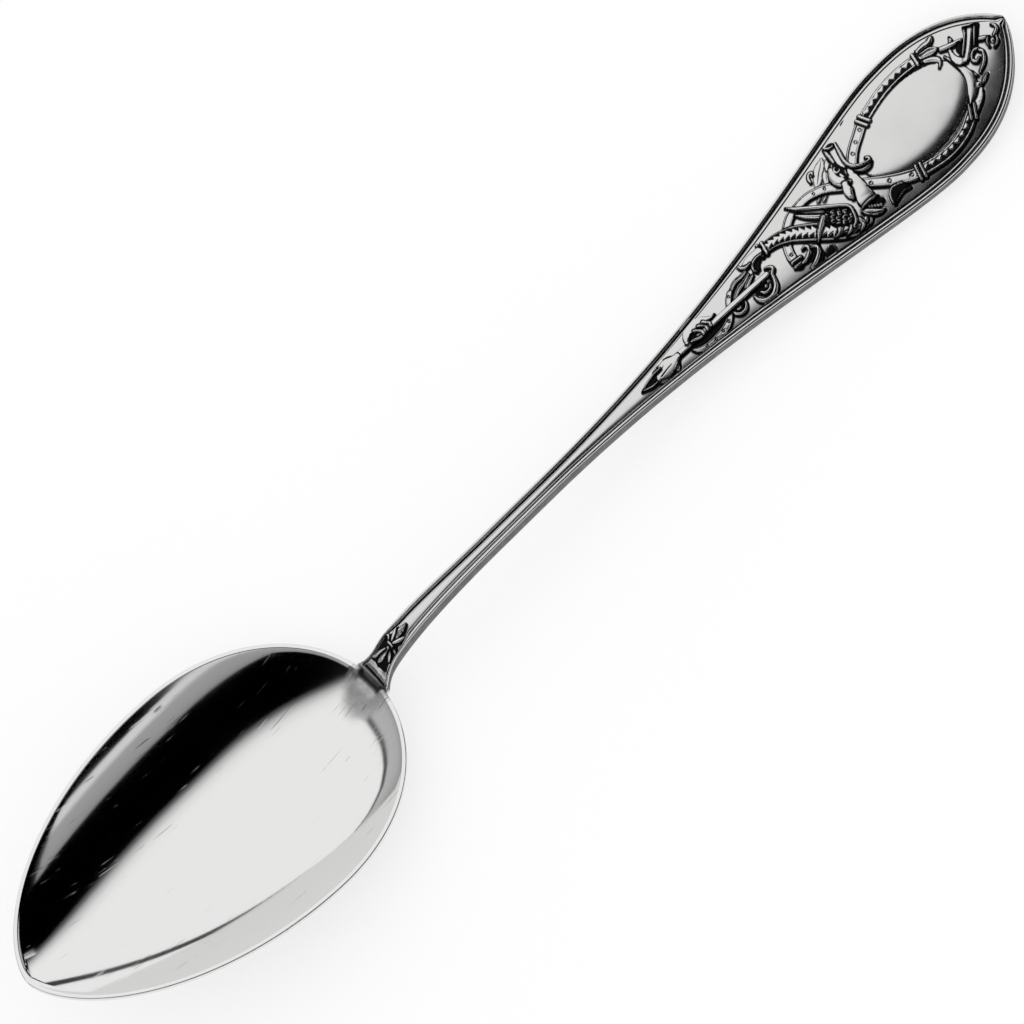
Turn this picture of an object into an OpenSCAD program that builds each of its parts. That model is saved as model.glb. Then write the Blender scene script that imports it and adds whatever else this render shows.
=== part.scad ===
// Silver dinner spoon with a pointed egg bowl, a slender stem and a chased,
// leaf-shaped handle end. It lies as it rests on a table, tip of the bowl up.

/* [Bowl] */
// Length of the bowl along its rim, from the tip to the neck
bowl_l = 73.6; // [62:0.1:84]
// Widest width of the bowl
bowl_w = 46.4; // [38:0.1:52]
// Distance of the widest place from the bowl's tip
bowl_wide_at = 45; // [40:0.5:50]
// How pointed the bowl's tip is, where 1 is round
bowl_point = 1.22; // [1:0.01:1.4]
// Distance of the deepest place from the bowl's tip
bowl_deep_at = 42; // [38:0.5:48]
// Depth of the hollow below the rim
bowl_depth = 9.6; // [7:0.1:12]
// Metal thickness at the bottom of the bowl
bowl_wall = 1.1; // [0.8:0.05:1.6]
// Width of the lip round the rim
lip_w = 0.8; // [0.6:0.05:1.2]
// Height of the lip's outer side
lip_h = 0.8; // [0.6:0.05:1.2]
// Angle by which the bowl's tip is raised when the spoon lies on a table
bowl_tilt = 12.5; // [9:0.1:15]

/* [Neck] */
// Width of the neck just above the bowl
neck_w = 4.3; // [3.6:0.1:5.4]
// Thickness of the neck
neck_t = 3.6; // [3:0.1:4.2]
// Extra half width where the neck runs into the bowl
shoulder_w = 1.3; // [0.6:0.1:2]
// Length of the heel that runs down the back of the bowl
heel_l = 13; // [8:0.5:18]
// Thickness that the heel adds to the back of the bowl
heel_t = 0.9; // [0.5:0.05:1.4]

/* [Handle] */
// Length from the bowl's end to the handle's tip
handle_l = 144.5; // [130:0.1:156]
// Width of the stem at its thinnest place
stem_w = 3.2; // [2.6:0.1:4]
// Thickness of the stem
stem_t = 3.5; // [2.8:0.1:4]
// Distance from the neck at which the stem begins to widen
flare_at = 40; // [34:0.5:48]
// Widest width of the handle's end
end_w = 23.2; // [20:0.1:26]
// Thickness of the metal at the widest place
end_t = 2.1; // [1.7:0.05:2.8]
// Length of the pointed end beyond the widest place
point_l = 21.5; // [17:0.1:25]
// Thickness at the handle's tip
tip_t = 1.9; // [1.5:0.05:2.4]
// Height of the back of the stem above the table at its crest
crest_z = 6.9; // [6:0.1:9]
// Distance of the crest from the neck
crest_at = 15; // [12:0.5:20]
// Distance from the handle's tip to where its back touches the table
rest_at = 27; // [22:0.5:34]
// Lift of the handle's tip above the table
tip_lift = 3.4; // [1:0.1:4]

/* [Border] */
// Width of the raised thread along the handle's edges
thread_w = 0.65; // [0.5:0.05:0.8]
// Depth of the field below the thread
field_drop = 0.42; // [0.3:0.02:0.55]
// Depth of the groove beside the thread, below the field
groove_drop = 0.18; // [0.1:0.02:0.25]
// Crown of the field at the widest place
crown_h = 0.9; // [0.2:0.05:1.2]

/* [Relief] */
// Height of the bands and ribbons above the field
band_h = 0.5; // [0.35:0.05:0.7]
// Height of the dragon's body and wing
body_h = 0.7; // [0.5:0.05:0.9]
// Height of the dragon's head
head_h = 1; // [0.7:0.05:1.2]
// Height of the plain oval shield at its middle
shield_h = 0.4; // [0.25:0.05:0.6]
// Length of the oval shield
shield_l = 22.6; // [20:0.1:24]
// Width of the oval shield
shield_w = 12.8; // [11:0.1:14]
// Width of the bands that frame the shield
band_w = 1.9; // [1.5:0.05:2.2]
// Thickness of the staff under the dragon
staff_w = 0.9; // [0.7:0.05:1.1]

/* [Hidden] */
silver = [0.78, 0.77, 0.75];

// Shape of the curves
neck_square = 0.945;
dish_power = 2.3;
flare_start = 0.5;
flare_end = 0.14;
end_point = 2.56;
end_round = 0.79;
crest_power = 2.5;
point_half = 0.2;
root_t = 2.3;
root_run = 6;
stem_at = 28;
fillet_run = 5;
heel_tip = 1.1;
sink = 0.3;

// Counts of stations and points
bowl_sides = 48;
dish_rings = 7;
heel_steps = 5;
field_cols = 3;
path_steps = 2;

// Size of handle end for which the relief was drawn, and its lean
drawn_l = 104.5;
drawn_w = 23.2;
drawn_slant = 0.07;

bowl_front = bowl_wide_at;
bowl_back = bowl_l - bowl_wide_at;
deep_x = bowl_deep_at - bowl_l;
wide_x = handle_l - point_l;
rest_x = handle_l - rest_at;
fit_x = (handle_l - flare_at) / drawn_l;
fit_y = end_w / drawn_w;

function mix(a, b, u) = a + (b - a) * u;
function clamp(u) = max(0, min(1, u));

// Rise from 0 to 1 with level ends, p and q setting how long each end stays level
function rise_x(t, p, q) = 3 * t * pow(1 - t, 2) * p + 3 * t * t * (1 - t) * (1 - q) + pow(t, 3);
function rise(u, p = 0.4, q = 0.4, lo = 0, hi = 1, k = 14) =
    let (t = (lo + hi) / 2)
    k == 0 ? t * t * (3 - 2 * t) :
    rise_x(t, p, q) < u ? rise(u, p, q, t, hi, k - 1) : rise(u, p, q, lo, t, k - 1);

// Smooth path through hand-set stations
function between(a, b, c, d, t) =
    0.5 * (2 * b + (c - a) * t + (2 * a - 5 * b + 4 * c - d) * t * t + (3 * b - a - 3 * c + d) * t * t * t);
function smooth(p, n = path_steps) = let (m = len(p) - 1) [
    for (i = [0 : m - 1], k = [0 : n - 1])
        between(p[max(i - 1, 0)], p[i], p[i + 1], p[min(i + 2, m)], k / n),
    p[m]
];

// Tube of m rings that all have n points, closed at both ends by a fan from the ring's middle
function average(p) = [for (q = p) 1] * p / len(p);
function tube_faces(m, n) = concat(
    [for (i = [0 : m - 2], j = [0 : n - 1]) [i * n + j, i * n + (j + 1) % n, (i + 1) * n + j]],
    [for (i = [0 : m - 2], j = [0 : n - 1])
        [i * n + (j + 1) % n, (i + 1) * n + (j + 1) % n, (i + 1) * n + j]],
    [for (j = [0 : n - 1]) [m * n, (j + 1) % n, j]],
    [for (j = [0 : n - 1]) [m * n + 1, (m - 1) * n + j, (m - 1) * n + (j + 1) % n]]
);
module tube(rings) {
    m = len(rings);
    polyhedron(concat([for (r = rings) each r], [average(rings[0]), average(rings[m - 1])]),
        tube_faces(m, len(rings[0])), 10);
}

// Bowl: outline of the rim, in the plane of the rim, neck at the origin
function spow(v, e) = sign(v) * pow(abs(v), e);
function rim(g, inset) = let (c = cos(g), s = sin(g))
    c < 0 ? [-bowl_back + (bowl_front - inset) * c, (bowl_w / 2 - inset) * spow(s, bowl_point)] :
    [-bowl_back + (bowl_back - inset) * spow(c, neck_square), (bowl_w / 2 - inset) * s];
function dish(r) = 1 - pow(r, dish_power);
function bowl_ring(r, inset, top, depth) = [
    for (k = [0 : bowl_sides - 1])
        let (p = rim(360 * k / bowl_sides, inset))
        [mix(deep_x, p.x, r), p.y * r, top - depth * dish(r)]
];
outer_depth = bowl_depth + bowl_wall - lip_h;

// From the plane of the rim to the table
function tilted(p) =
    [p.x * cos(bowl_tilt) + p.z * sin(bowl_tilt), p.y, p.z * cos(bowl_tilt) - p.x * sin(bowl_tilt)];
outer_line = [for (i = [0 : 60]) tilted([mix(deep_x, 0, i / 60), 0, -lip_h - outer_depth * dish(i / 60)])];
neck_z = -min([for (p = outer_line) p.z]);
function on_table(p) = tilted(p) + [0, 0, neck_z];

module bowl() {
    ease = [for (i = [1 : dish_rings]) pow(i / dish_rings, 0.9)];
    rings = concat(
        [bowl_ring(0.02, lip_w, 0, bowl_depth)],
        [for (r = ease) bowl_ring(r, lip_w, -0.1, bowl_depth - 0.1)],
        [bowl_ring(1, lip_w * 0.7, 0, 0), bowl_ring(1, lip_w * 0.3, 0, 0), bowl_ring(1, 0, -0.2, 0)],
        [for (i = [dish_rings : -1 : 1]) bowl_ring(ease[i - 1], 0, -lip_h, outer_depth)],
        [bowl_ring(0.02, 0, -lip_h, outer_depth)]
    );
    tube([for (ring = rings) [for (p = ring) on_table(p)]]);
}

// Handle: half width, back and thickness along its length from the neck
function half_w(x) =
    x < flare_at ? mix(neck_w, stem_w, rise(clamp(x / stem_at))) / 2
        + shoulder_w * pow(1 - clamp(x / fillet_run), 3) :
    x < wide_x ? mix(stem_w, end_w, rise((x - flare_at) / (wide_x - flare_at), flare_start, flare_end)) / 2 :
    mix(point_half, end_w / 2, pow(1 - pow(clamp((x - wide_x) / point_l), end_point), end_round));
function spread(x) = sqrt(1 + pow((half_w(x + 0.1) - half_w(x - 0.1)) / 0.2, 2));
root_z = neck_z - root_t;
function back_z(x) =
    x < crest_at ? mix(root_z, crest_z, 1 - pow(1 - x / crest_at, crest_power)) :
    x < rest_x ? crest_z * (1 - rise((x - crest_at) / (rest_x - crest_at), 0.12, 0.34)) :
    tip_lift * pow((x - rest_x) / rest_at, 2.6);
function thick(x) =
    x < root_run ? mix(root_t, neck_t, rise(clamp(x / root_run))) :
    x < flare_at ? mix(neck_t, stem_t, rise(clamp((x - root_run) / (stem_at - root_run)))) :
    x < wide_x ? mix(stem_t, end_t, rise((x - flare_at) / (wide_x - flare_at), 0.3, 0.3)) :
    mix(end_t, tip_t, (x - wide_x) / point_l);
function top_z(x) = back_z(x) + thick(x);
function field_z(x, y) = top_z(x) - field_drop
    + crown_h * clamp(half_w(x) / end_w * 2) * clamp(1 - pow(y / col_y(x, edge_n), 2));

// Height across the handle, by distance from the edge: thread, groove, field
thread = [
    [0, -0.2], [thread_w * 0.25, -0.02], [thread_w * 0.75, -0.02],
    [thread_w * 1.15, -field_drop - groove_drop],
    [thread_w * 1.4, -field_drop - groove_drop], [thread_w * 1.75, -field_drop]
];
edge_n = len(thread) - 1;
function surface_z(x, y) =
    let (d = (half_w(x) - abs(y)) / spread(x))
    top_z(x) + lookup(d, thread)
    + (field_z(x, y) - top_z(x) + field_drop) * clamp(d / thread_w - 0.8);
function col_y(x, i) = half_w(x) - min(thread[i][0] * spread(x), half_w(x) * i / (edge_n + 1));
function top_cols(x) = let (w = col_y(x, edge_n)) concat(
    [for (i = [0 : edge_n]) -col_y(x, i)],
    [for (i = [1 : field_cols]) w * (2 * i / (field_cols + 1) - 1)],
    [for (i = [edge_n : -1 : 0]) col_y(x, i)]
);
// Back of the section: flat in the middle, round at the edges
back_cols = [0.97, 0.8, 0.4, -0.4, -0.8, -0.97];
function belly(x) = min(thick(x) * 0.45, mix(1.2, 0.5, clamp((half_w(x) - 1.5) / 5)));
function back_shape(v) = 1 - pow(1 - pow(abs(v), 4), 0.5);
function handle_ring(x) = concat(
    [for (v = back_cols) [x, v * half_w(x), back_z(x) + belly(x) * back_shape(v)]],
    [for (y = top_cols(x)) [x, y, surface_z(x, y)]]
);

// Heel: the root of the handle inside the bowl's wall and proud of its back
function heel_ring(i) =
    let (u = i / heel_steps, xb = -heel_l * (1 - u), r = clamp((xb - deep_x) / -deep_x),
        w = mix(heel_tip, half_w(0), rise(u)),
        low = -lip_h - outer_depth * dish(r) - mix(0, root_t - lip_h, pow(u, 4))
            - heel_t * rise(u) * (1 - pow(u, 4)),
        high = -(bowl_depth + bowl_wall * 0.5) * dish(r) - mix(0.5, 0.1, u))
    concat(
        [for (v = back_cols) on_table([xb, v * w, low + (high - low) * 0.5 * back_shape(v)])],
        [for (y = top_cols(0)) on_table([xb, y / half_w(0) * w, high])]
    );

module handle() {
    neck_at = [0.4, 1.5, 3, 4.5, 6.5, 9, 13, 18, 26, 33];
    flare_steps = 15;
    tip_steps = 10;
    tube(concat(
        [for (i = [0 : heel_steps]) heel_ring(i)],
        [for (x = neck_at) handle_ring(x)],
        [for (i = [0 : flare_steps - 1]) handle_ring(mix(flare_at, wide_x, i / flare_steps))],
        [for (i = [0 : tip_steps]) handle_ring(wide_x + point_l * (1 - pow(1 - i / tip_steps, 1.5)))]
    ));
}

// Relief: strokes laid on the field. A station is [from the tip, across, width, height]
function blade(p) = [handle_l - (p.x - drawn_slant * p.y) * fit_x, p.y * fit_y, p[2], p[3]];
function on_field(x, y, h) = [x, y, field_z(x, y) + h];
band = [[-1, 0], [-0.8, 1], [-0.5, 0.6], [0.5, 0.6], [0.8, 1], [1, 0]];
cord = [[-1, 0], [-0.72, 0.68], [0, 1], [0.72, 0.68], [1, 0]];
wire = [[-1, 0], [-0.5, 0.95], [0.5, 0.95], [1, 0]];
ridge = [[-1, 0.1], [0, 1], [1, 0.1]];

function heading(p, i) =
    let (d = p[min(i + 1, len(p) - 1)] - p[max(i - 1, 0)]) [-d.y, d.x] / norm([d.x, d.y]);
function stroke_ring(p, side, shape) = concat(
    [on_field(p.x - side.x * p[2] / 2, p.y - side.y * p[2] / 2, -sink)],
    [for (s = shape)
        let (reach = s[0] * p[2] / 2)
        on_field(p.x + side.x * reach, p.y + side.y * reach, max(s[1] * p[3], 0.02 - sink))],
    [on_field(p.x + side.x * p[2] / 2, p.y + side.y * p[2] / 2, -sink)]
);
module along(path, shape) {
    tube([for (i = [0 : len(path) - 1]) stroke_ring(path[i], heading(path, i), shape)]);
}
module stroke(stations, shape = wire, n = path_steps) {
    along(smooth([for (p = stations) blade(p)], n), shape);
}

// Spiral end of a scroll, turning from angle g by turn degrees
module curl(a, b, r, g, turn, w = 0.6, h = 0.5) {
    steps = ceil(abs(turn) / 50);
    stroke([for (i = [0 : steps])
        let (u = i / steps, q = g + turn * u, rr = r * mix(1, 0.35, u))
        [a - rr * cos(q), b + rr * sin(q), w * mix(1, 0.7, u), h]], wire, 1);
}

// Domed boss, from its radius and crest above the field
module boss(a, b, r, crest) {
    p = blade([a, b, 0, 0]);
    hull() {
        translate(on_field(p.x, p.y, -sink)) cylinder(h = sink + crest * 0.6, r1 = r, r2 = r * 0.85, $fn = 7);
        translate(on_field(p.x, p.y, crest - 0.1)) cylinder(h = 0.1, r = r * 0.45, $fn = 7);
    }
}

// Small stud
module stud(a, b, r, crest) {
    p = blade([a, b, 0, 0]);
    translate(on_field(p.x, p.y, -sink)) cylinder(h = crest + sink, r1 = r, r2 = r * 0.5, $fn = 5);
}

// Two raised bars across a band, at station p
module collar(a, b, dir, w, h) {
    for (off = [-0.45, 0.45])
        stroke([for (v = [-0.58, 0, 0.58])
            [a + off * cos(dir) - v * w * sin(dir), b + off * sin(dir) + v * w * cos(dir), 0.5, h]],
            ridge, 1);
}

// Row of triangles along a band, points turned to one side and the other
module zigzag(stations, count, w, h) {
    path = smooth([for (p = stations) blade(p)], 6);
    m = len(path) - 1;
    for (k = [0 : count - 1]) {
        i = round((k + 0.5) / count * m);
        side = heading(path, i);
        ahead = [side.y, -side.x];
        reach = norm([path[m].x - path[0].x, path[m].y - path[0].y]) / count * 0.55;
        turn = k % 2 == 0 ? 1 : -1;
        mid = [path[i].x, path[i].y];
        foot = [-side * w / 2 - ahead * reach, side * w / 2, -side * w / 2 + ahead * reach];
        tube([for (level = [[1, 0], [0.6, h]])
            [for (c = foot) let (q = mid + c * level[0] * turn) on_field(q.x, q.y, level[1])]]);
    }
}

module dots(stations, r, h) {
    for (p = stations)
        stud(p.x, p.y, r, h);
}

// Plain oval shield with a low dome
module shield() {
    c = blade([21.5, 0, 0, 0]);
    levels = [[0.3, 1], [0.7, 0.75], [0.99, 0.15], [1.02, -sink]];
    tube([for (l = levels) [for (k = [0 : 29])
        let (x = c.x + shield_l / 2 * l[0] * cos(12 * k), y = shield_w / 2 * l[0] * sin(12 * k))
        on_field(x, y, l[1] < 0 ? -sink : l[1] * shield_h)]]);
}

// Bands that hold the shield, from the dragon's brow and jaw to the top knot
module shield_bands() {
    w = band_w;
    h = band_h;
    stroke([[33, 1.6, w, h], [30.2, 4.5, w, h], [27.1, 6.3, w, h], [22.4, 7.2, w, h],
        [18.3, 7.4, w, h], [14.4, 7, w, h]], band, 2);
    stroke([[11, 1.4, 0.3, h], [10.5, -1.8, w * 0.9, h], [12.2, -4.6, w, h], [13.7, -6.2, w, h],
        [17.1, -7.9, w, h], [21.3, -8.2, w, h], [26.2, -7.1, w, h], [30, -5.3, w * 0.8, h],
        [33.8, -2.6, 0.7, h]], band, 2);
    zigzag([[25.8, 6.7], [22.4, 7.2], [18.3, 7.4], [15.6, 7.2]], 6, w * 0.5, h + 0.08);
    zigzag([[15, -7], [17.1, -7.9], [21.3, -8.2], [25, -7.5]], 6, w * 0.5, h + 0.08);
    dots([[31.2, 3.6], [29.2, 5.2]], 0.28, h + 0.12);
    dots([[31.2, -4.5], [28.8, -5.9]], 0.25, h + 0.12);
    collar(27.1, 6.3, 162, w * 0.8, h + 0.15);
    collar(14.4, 7, 190, w * 0.8, h + 0.15);
    collar(13.7, -6.2, 222, w * 0.8, h + 0.15);
    collar(26.2, -7.1, 15, w * 0.8, h + 0.15);
    // Leaf finials
    stroke([[13.8, 7.4, 0.8, h], [12, 8, 0.9, h], [10.6, 8, 0.6, h], [9.7, 7.3, 0.25, h]], ridge);
    stroke([[13.6, 6.8, 0.9, h], [11.8, 6.2, 1.2, h + 0.1], [10.8, 5.6, 0.3, h]], ridge);
    stroke([[13.8, 6.2, 0.8, h], [12.9, 5, 0.9, h], [12, 3.9, 0.7, h], [10.9, 3.6, 0.2, h]], ridge);
    stroke([[28.6, -6.6, 0.8, h], [29.8, -7.4, 1.1, h], [31.6, -7.9, 0.8, h], [33, -7, 0.2, h]], ridge);
    stroke([[11.3, -3.4, 0.8, h], [10.4, -4.6, 0.8, h], [10.8, -5.8, 0.2, h]], ridge);
}

// Knot at the handle's tip: a pin through a folded strap, and a ring
module top_knot() {
    h = band_h;
    stroke([[11.6, 5.4, 0.8, h + 0.2], [4, 0.1, 0.6, h + 0.2]], wire, 1);
    stroke([[5.5, 3.7, 2.6, h], [7.3, 1.8, 1.8, h], [9.2, 0, 1.2, h]], band, 2);
    stroke([[9.8, 1.2, 0.9, h], [9.5, 3.3, 0.9, h], [8.5, 5.1, 1.2, h]], band, 2);
    curl(6.9, -0.5, 1, 60, 300, 0.5, h);
    stroke([[6.1, -0.9, 0.6, h], [7.1, -2.3, 0.6, h], [8.8, -2.8, 0.2, h]]);
    boss(3.9, -0.1, 0.45, h + 0.1);
    boss(4.4, -1.1, 0.45, h + 0.1);
    boss(3.2, -0.9, 0.4, h + 0.1);
    stroke([[2.5, -1.1, 0.5, h], [2, 0.1, 0.5, h], [2.6, 0.9, 0.2, h]]);
}

// Dragon: head with horn, eye, jaws and teeth
module dragon_head() {
    h = head_h;
    stroke([[36.3, 3.7, 1.5, h * 0.6], [35.3, 2.2, 2.5, h * 0.9], [34.7, -0.4, 2.1, h],
        [34.8, -2.4, 2.1, h * 0.9], [35.2, -4.1, 1.6, h * 0.7]], cord, 2);
    stroke([[36.9, -3.8, 0.9, h * 0.7], [36.6, -5.2, 1, h * 0.7], [35, -6.2, 0.7, h * 0.5]], cord, 2);
    stroke([[33.9, 7, 2.8, h * 0.7], [34.3, 5.2, 2, h * 0.8], [34.5, 3.2, 1.6, h], [33.8, 1.5, 1.2, h],
        [32.4, 0.6, 0.9, h * 0.8], [31.1, 0.5, 0.7, h * 0.7], [30.9, 1.3, 0.3, h * 0.6]], band, 2);
    boss(35.6, 3.1, 0.75, h);
    boss(35.6, 3.1, 0.4, h + 0.15);
    boss(36.7, 0.3, 0.75, h * 0.85);
    boss(36.8, -1.2, 0.65, h * 0.75);
    boss(36.6, 1.8, 0.7, h * 0.85);
    for (k = [0 : 2])
        stud(35.8 - 0.5 * k, -4.8 - 0.3 * k, 0.16, h * 0.8);
    // Leaf and mane behind the head
    stroke([[39.6, 3.4, 1.2, h * 0.4], [38.6, 4.9, 2.2, h * 0.55], [37.4, 5.8, 1.6, h * 0.5],
        [36.1, 6.5, 0.4, h * 0.4]], ridge, 2);
    for (k = [0 : 3])
        stroke([[37 + k * 1.75, -5.8 + k * 0.6, 1, h * 0.6],
            [38.1 + k * 1.75, -7 + k * 0.95, 0.2, h * 0.4]], ridge, 1);
}

// Dragon: wing with scales and feathers, scaled body, ring of its tail and its claws
module dragon_body() {
    h = body_h;
    stroke([[37.6, -5, 1.6, h], [40, -5.2, 2, h], [42.8, -3.6, 2.2, h], [45.6, -1, 2, h], [48, 0.9, 1.9, h],
        [50.6, 2.2, 1.8, h], [52.8, 2.9, 1.6, h]], cord, 2);
    zigzag([[42, -4.2], [44.6, -1.9], [47, 0.2], [49.6, 1.8], [52, 2.7]], 6, 1, h + 0.1);
    collar(53.3, 3, 12, 1.7, h);
    stroke([[54, 3.2, 0.8, h * 0.7], [55.8, 3.4, 0.9, h * 0.7], [57.2, 2.8, 0.7, h * 0.6],
        [57, 2, 0.2, h * 0.5]]);
    stroke([[54, 2.4, 0.8, h * 0.7], [55.2, 1.6, 0.8, h * 0.7], [56, 0.6, 0.5, h * 0.6]]);
    // Wing
    stroke([[38.3, -4, 1.2, h], [38.6, -2, 1.4, h * 1.1], [40, -0.4, 1.1, h], [43, 2, 0.8, h],
        [46, 5.1, 0.3, h * 0.7]], cord, 2);
    for (k = [0 : 2])
        stroke([[41.2 + 0.8 * k, -1.2 - 0.8 * k, 0.8, h], [44 + 0.7 * k, 1.4 - 0.9 * k, 0.8, h],
            [46.2 + 0.2 * k, 4.2 - 1.1 * k, 0.2, h * 0.7]], ridge, 1);
    for (i = [0 : 2], j = [0 : 1])
        stud(39.8 + 0.95 * i, -3.6 + j + 0.6 * i, 0.5, h * 1.05);
    // Ring of the tail with its studs
    stroke([[37.9, 1.2, 1, h * 0.6], [40.3, 3.2, 1, h * 0.6], [43.2, 4.2, 1, h * 0.6],
        [46.2, 4.2, 1, h * 0.6], [48.4, 2.8, 1, h * 0.6], [50, 0.8, 1, h * 0.6], [50.7, -1.4, 1, h * 0.6],
        [50.4, -3.6, 1.1, h * 0.6]], wire, 2);
    dots([[39.4, 2.5], [42.4, 4.1], [50.3, 0], [50.6, -2.3]], 0.22, h * 0.6 + 0.1);
    collar(50.1, -4.2, 100, 1.1, h * 0.75);
    // Claws and leg
    stroke([[42.6, -1.4, 0.9, h * 1.1], [44.4, -2.8, 0.6, h], [46, -3.6, 0.4, h * 0.8]]);
    curl(47.8, -4.3, 1.5, 200, 320, 0.7, h * 0.8);
    curl(45.2, -5.1, 0.8, 60, 260, 0.5, h * 0.7);
    boss(48.2, -3.9, 0.5, h);
}

// Staff with its scroll, the hand that grips it, the ribbons and the leaf at its foot
module staff() {
    h = body_h;
    w = staff_w;
    stroke([[54.6, -0.6, w, h], [64, -0.6, w, h], [75, -0.5, w, h]], cord, 1);
    stroke([[53.2, 0.4, 0.3, h * 0.7], [53.5, -0.8, 0.8, h * 0.8], [54.3, -2.4, 1, h * 0.8],
        [55.8, -3.4, 0.9, h * 0.8], [57.4, -2.7, 0.6, h * 0.7], [57.2, -1.8, 0.4, h * 0.7]]);
    boss(56, -2.2, 0.6, h * 0.8);
    stroke([[56.4, 1.8, 0.4, h * 0.6], [59, 1.4, 1.2, h * 0.6], [62, 0.4, 1, h * 0.6],
        [64.2, -1.2, 0.9, h * 0.5], [66.4, -2.5, 1, h * 0.5], [69.2, -2.5, 0.9, h * 0.5],
        [71.6, -1.4, 0.5, h * 0.5]], wire, 2);
    curl(61.2, -2, 0.8, 90, 280, 0.5, h * 0.6);
    // Hand
    stroke([[66.6, 1.6, 0.5, h], [67.6, 0.6, 0.8, h * 1.3], [69, 0.9, 1, h * 1.2],
        [70.6, 0.7, 0.9, h * 1.1], [71.4, -0.2, 0.5, h]]);
    for (k = [0 : 2])
        boss(67.6 + k * 0.85, -0.6 - 0.1 * k, 0.42, h * 1.35);
    // Leaf at the foot of the staff
    stroke([[74.4, -0.5, w, h], [75.6, -0.5, 2.4, h], [77.4, -0.4, 1.8, h * 0.9],
        [81.4, -0.2, 0.3, h * 0.6]], ridge, 2);
    for (s = [-1, 1])
        stroke([[75.4, -0.5, 0.8, h], [75.6, -0.5 + 1.2 * s, 0.7, h * 0.8],
            [76.8, -0.5 + 1.5 * s, 0.2, h * 0.6]], ridge, 2);
}

// Crossed leaves on the neck, placed from the bowl's end
module neck_leaf() {
    h = band_h;
    mid = 6;
    along(smooth([[mid - 3.4, 0, 1.6, h], [mid - 1, 0, 0.9, h * 1.2], [mid, 0, 1, h * 1.3]]), ridge);
    along(smooth([[mid, 0, 0.9, h * 1.3], [mid + 1.8, 0, 1.4, h], [mid + 3.6, 0, 0.2, h * 0.7]]), ridge);
    for (s = [-1, 1])
        along(smooth([[mid, 0, 0.7, h * 1.2], [mid + 0.4, 0.8 * s, 0.9, h],
            [mid - 0.6, 1.4 * s, 0.2, h * 0.7]]), ridge);
    along([[1.9, -2.1, 0.7, h], [1.9, 0, 0.7, h * 1.1], [1.9, 2.1, 0.7, h]], cord);
}

module relief() {
    shield();
    shield_bands();
    top_knot();
    dragon_head();
    dragon_body();
    staff();
    neck_leaf();
}

module spoon() {
    low_x = -bowl_l * cos(bowl_tilt) - lip_h * sin(bowl_tilt);
    color(silver) translate([-(low_x + handle_l) / 2, 0, 0]) union() {
        bowl();
        handle();
        relief();
    }
}

spoon();
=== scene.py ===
import math

import bmesh
import bpy
import numpy as np
from mathutils import Matrix, Vector


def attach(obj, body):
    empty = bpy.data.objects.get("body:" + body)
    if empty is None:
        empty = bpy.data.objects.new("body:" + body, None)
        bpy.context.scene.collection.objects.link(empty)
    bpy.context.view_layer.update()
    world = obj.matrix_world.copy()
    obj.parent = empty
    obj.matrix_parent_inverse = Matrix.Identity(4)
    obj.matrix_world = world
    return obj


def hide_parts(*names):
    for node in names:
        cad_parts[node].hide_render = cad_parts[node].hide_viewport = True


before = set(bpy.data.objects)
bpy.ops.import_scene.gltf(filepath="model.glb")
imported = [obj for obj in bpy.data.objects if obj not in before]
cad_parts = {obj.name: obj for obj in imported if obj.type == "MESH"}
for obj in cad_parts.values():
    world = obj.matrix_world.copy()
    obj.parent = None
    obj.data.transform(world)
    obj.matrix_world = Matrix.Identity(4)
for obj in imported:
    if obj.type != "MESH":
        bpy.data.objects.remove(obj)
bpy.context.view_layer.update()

mm = 0.001  # shapes are worked out in millimetres


# helpers for curves
def mix(a, b, u):
    return a + (b - a) * u


def ease(u):
    u = np.clip(u, 0, 1)
    return u * u * (3 - 2 * u)


# bell of height 1 round zero
def bell(u, width):
    return np.exp(-(u / width) ** 2)


# rise from 0 to 1 with level ends, p and q set how long each end stays level
def rise(u, p=0.4, q=0.4):
    u = np.clip(np.asarray(u, float), 0, 1)
    low, high = np.zeros_like(u), np.ones_like(u)
    for turn in range(24):
        t = (low + high) / 2
        under = 3 * t * (1 - t) ** 2 * p + 3 * t * t * (1 - t) * (1 - q) + t ** 3 < u
        low, high = np.where(under, t, low), np.where(under, high, t)
    return t * t * (3 - 2 * t)


# grid laid over a sheet of points, with values kept at the points; a closed one has its seam and poles merged
def laidGrid(name, points, material, layers, closed):
    rows, cols = points.shape[:2]
    bm = bmesh.new()
    bmesh.ops.create_grid(bm, x_segments=cols - 1, y_segments=rows - 1, size=1)
    for vert, place in zip(bm.verts, points.reshape(-1, 3)):
        vert.co = place
    for key, values in layers.items():
        layer = bm.verts.layers.float.new(key)
        for vert, value in zip(bm.verts, values.ravel()):
            vert[layer] = value
    if closed:
        bmesh.ops.remove_doubles(bm, verts=bm.verts, dist=2e-7)
        bmesh.ops.recalc_face_normals(bm, faces=bm.faces)
        for face in bm.faces:
            face.smooth = True
    mesh = bpy.data.meshes.new(name)
    bm.to_mesh(mesh)
    bm.free()
    mesh.materials.append(material)
    piece = bpy.data.objects.new(name, mesh)
    bpy.context.collection.objects.link(piece)
    return piece


# closes the two ends of a skin with the middles of its first and last sections
def capped(sheet):
    ends = [section.mean(axis=0, keepdims=True).repeat(len(sheet), axis=0)
            for section in (sheet[:, :1], sheet[:, -1:])]
    return np.concatenate([ends[0], sheet, ends[1]], axis=1)


# closed skin of the spoon
def skinSheet(name, points, material, oxideAndShadeAmount):
    piece = laidGrid(name, points * mm, material, {"oxideAndShadeAmount": oxideAndShadeAmount}, closed=True)
    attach(piece, "root")
    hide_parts("spoon")
    print(name, "made with", len(piece.data.polygons), "faces")


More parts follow.
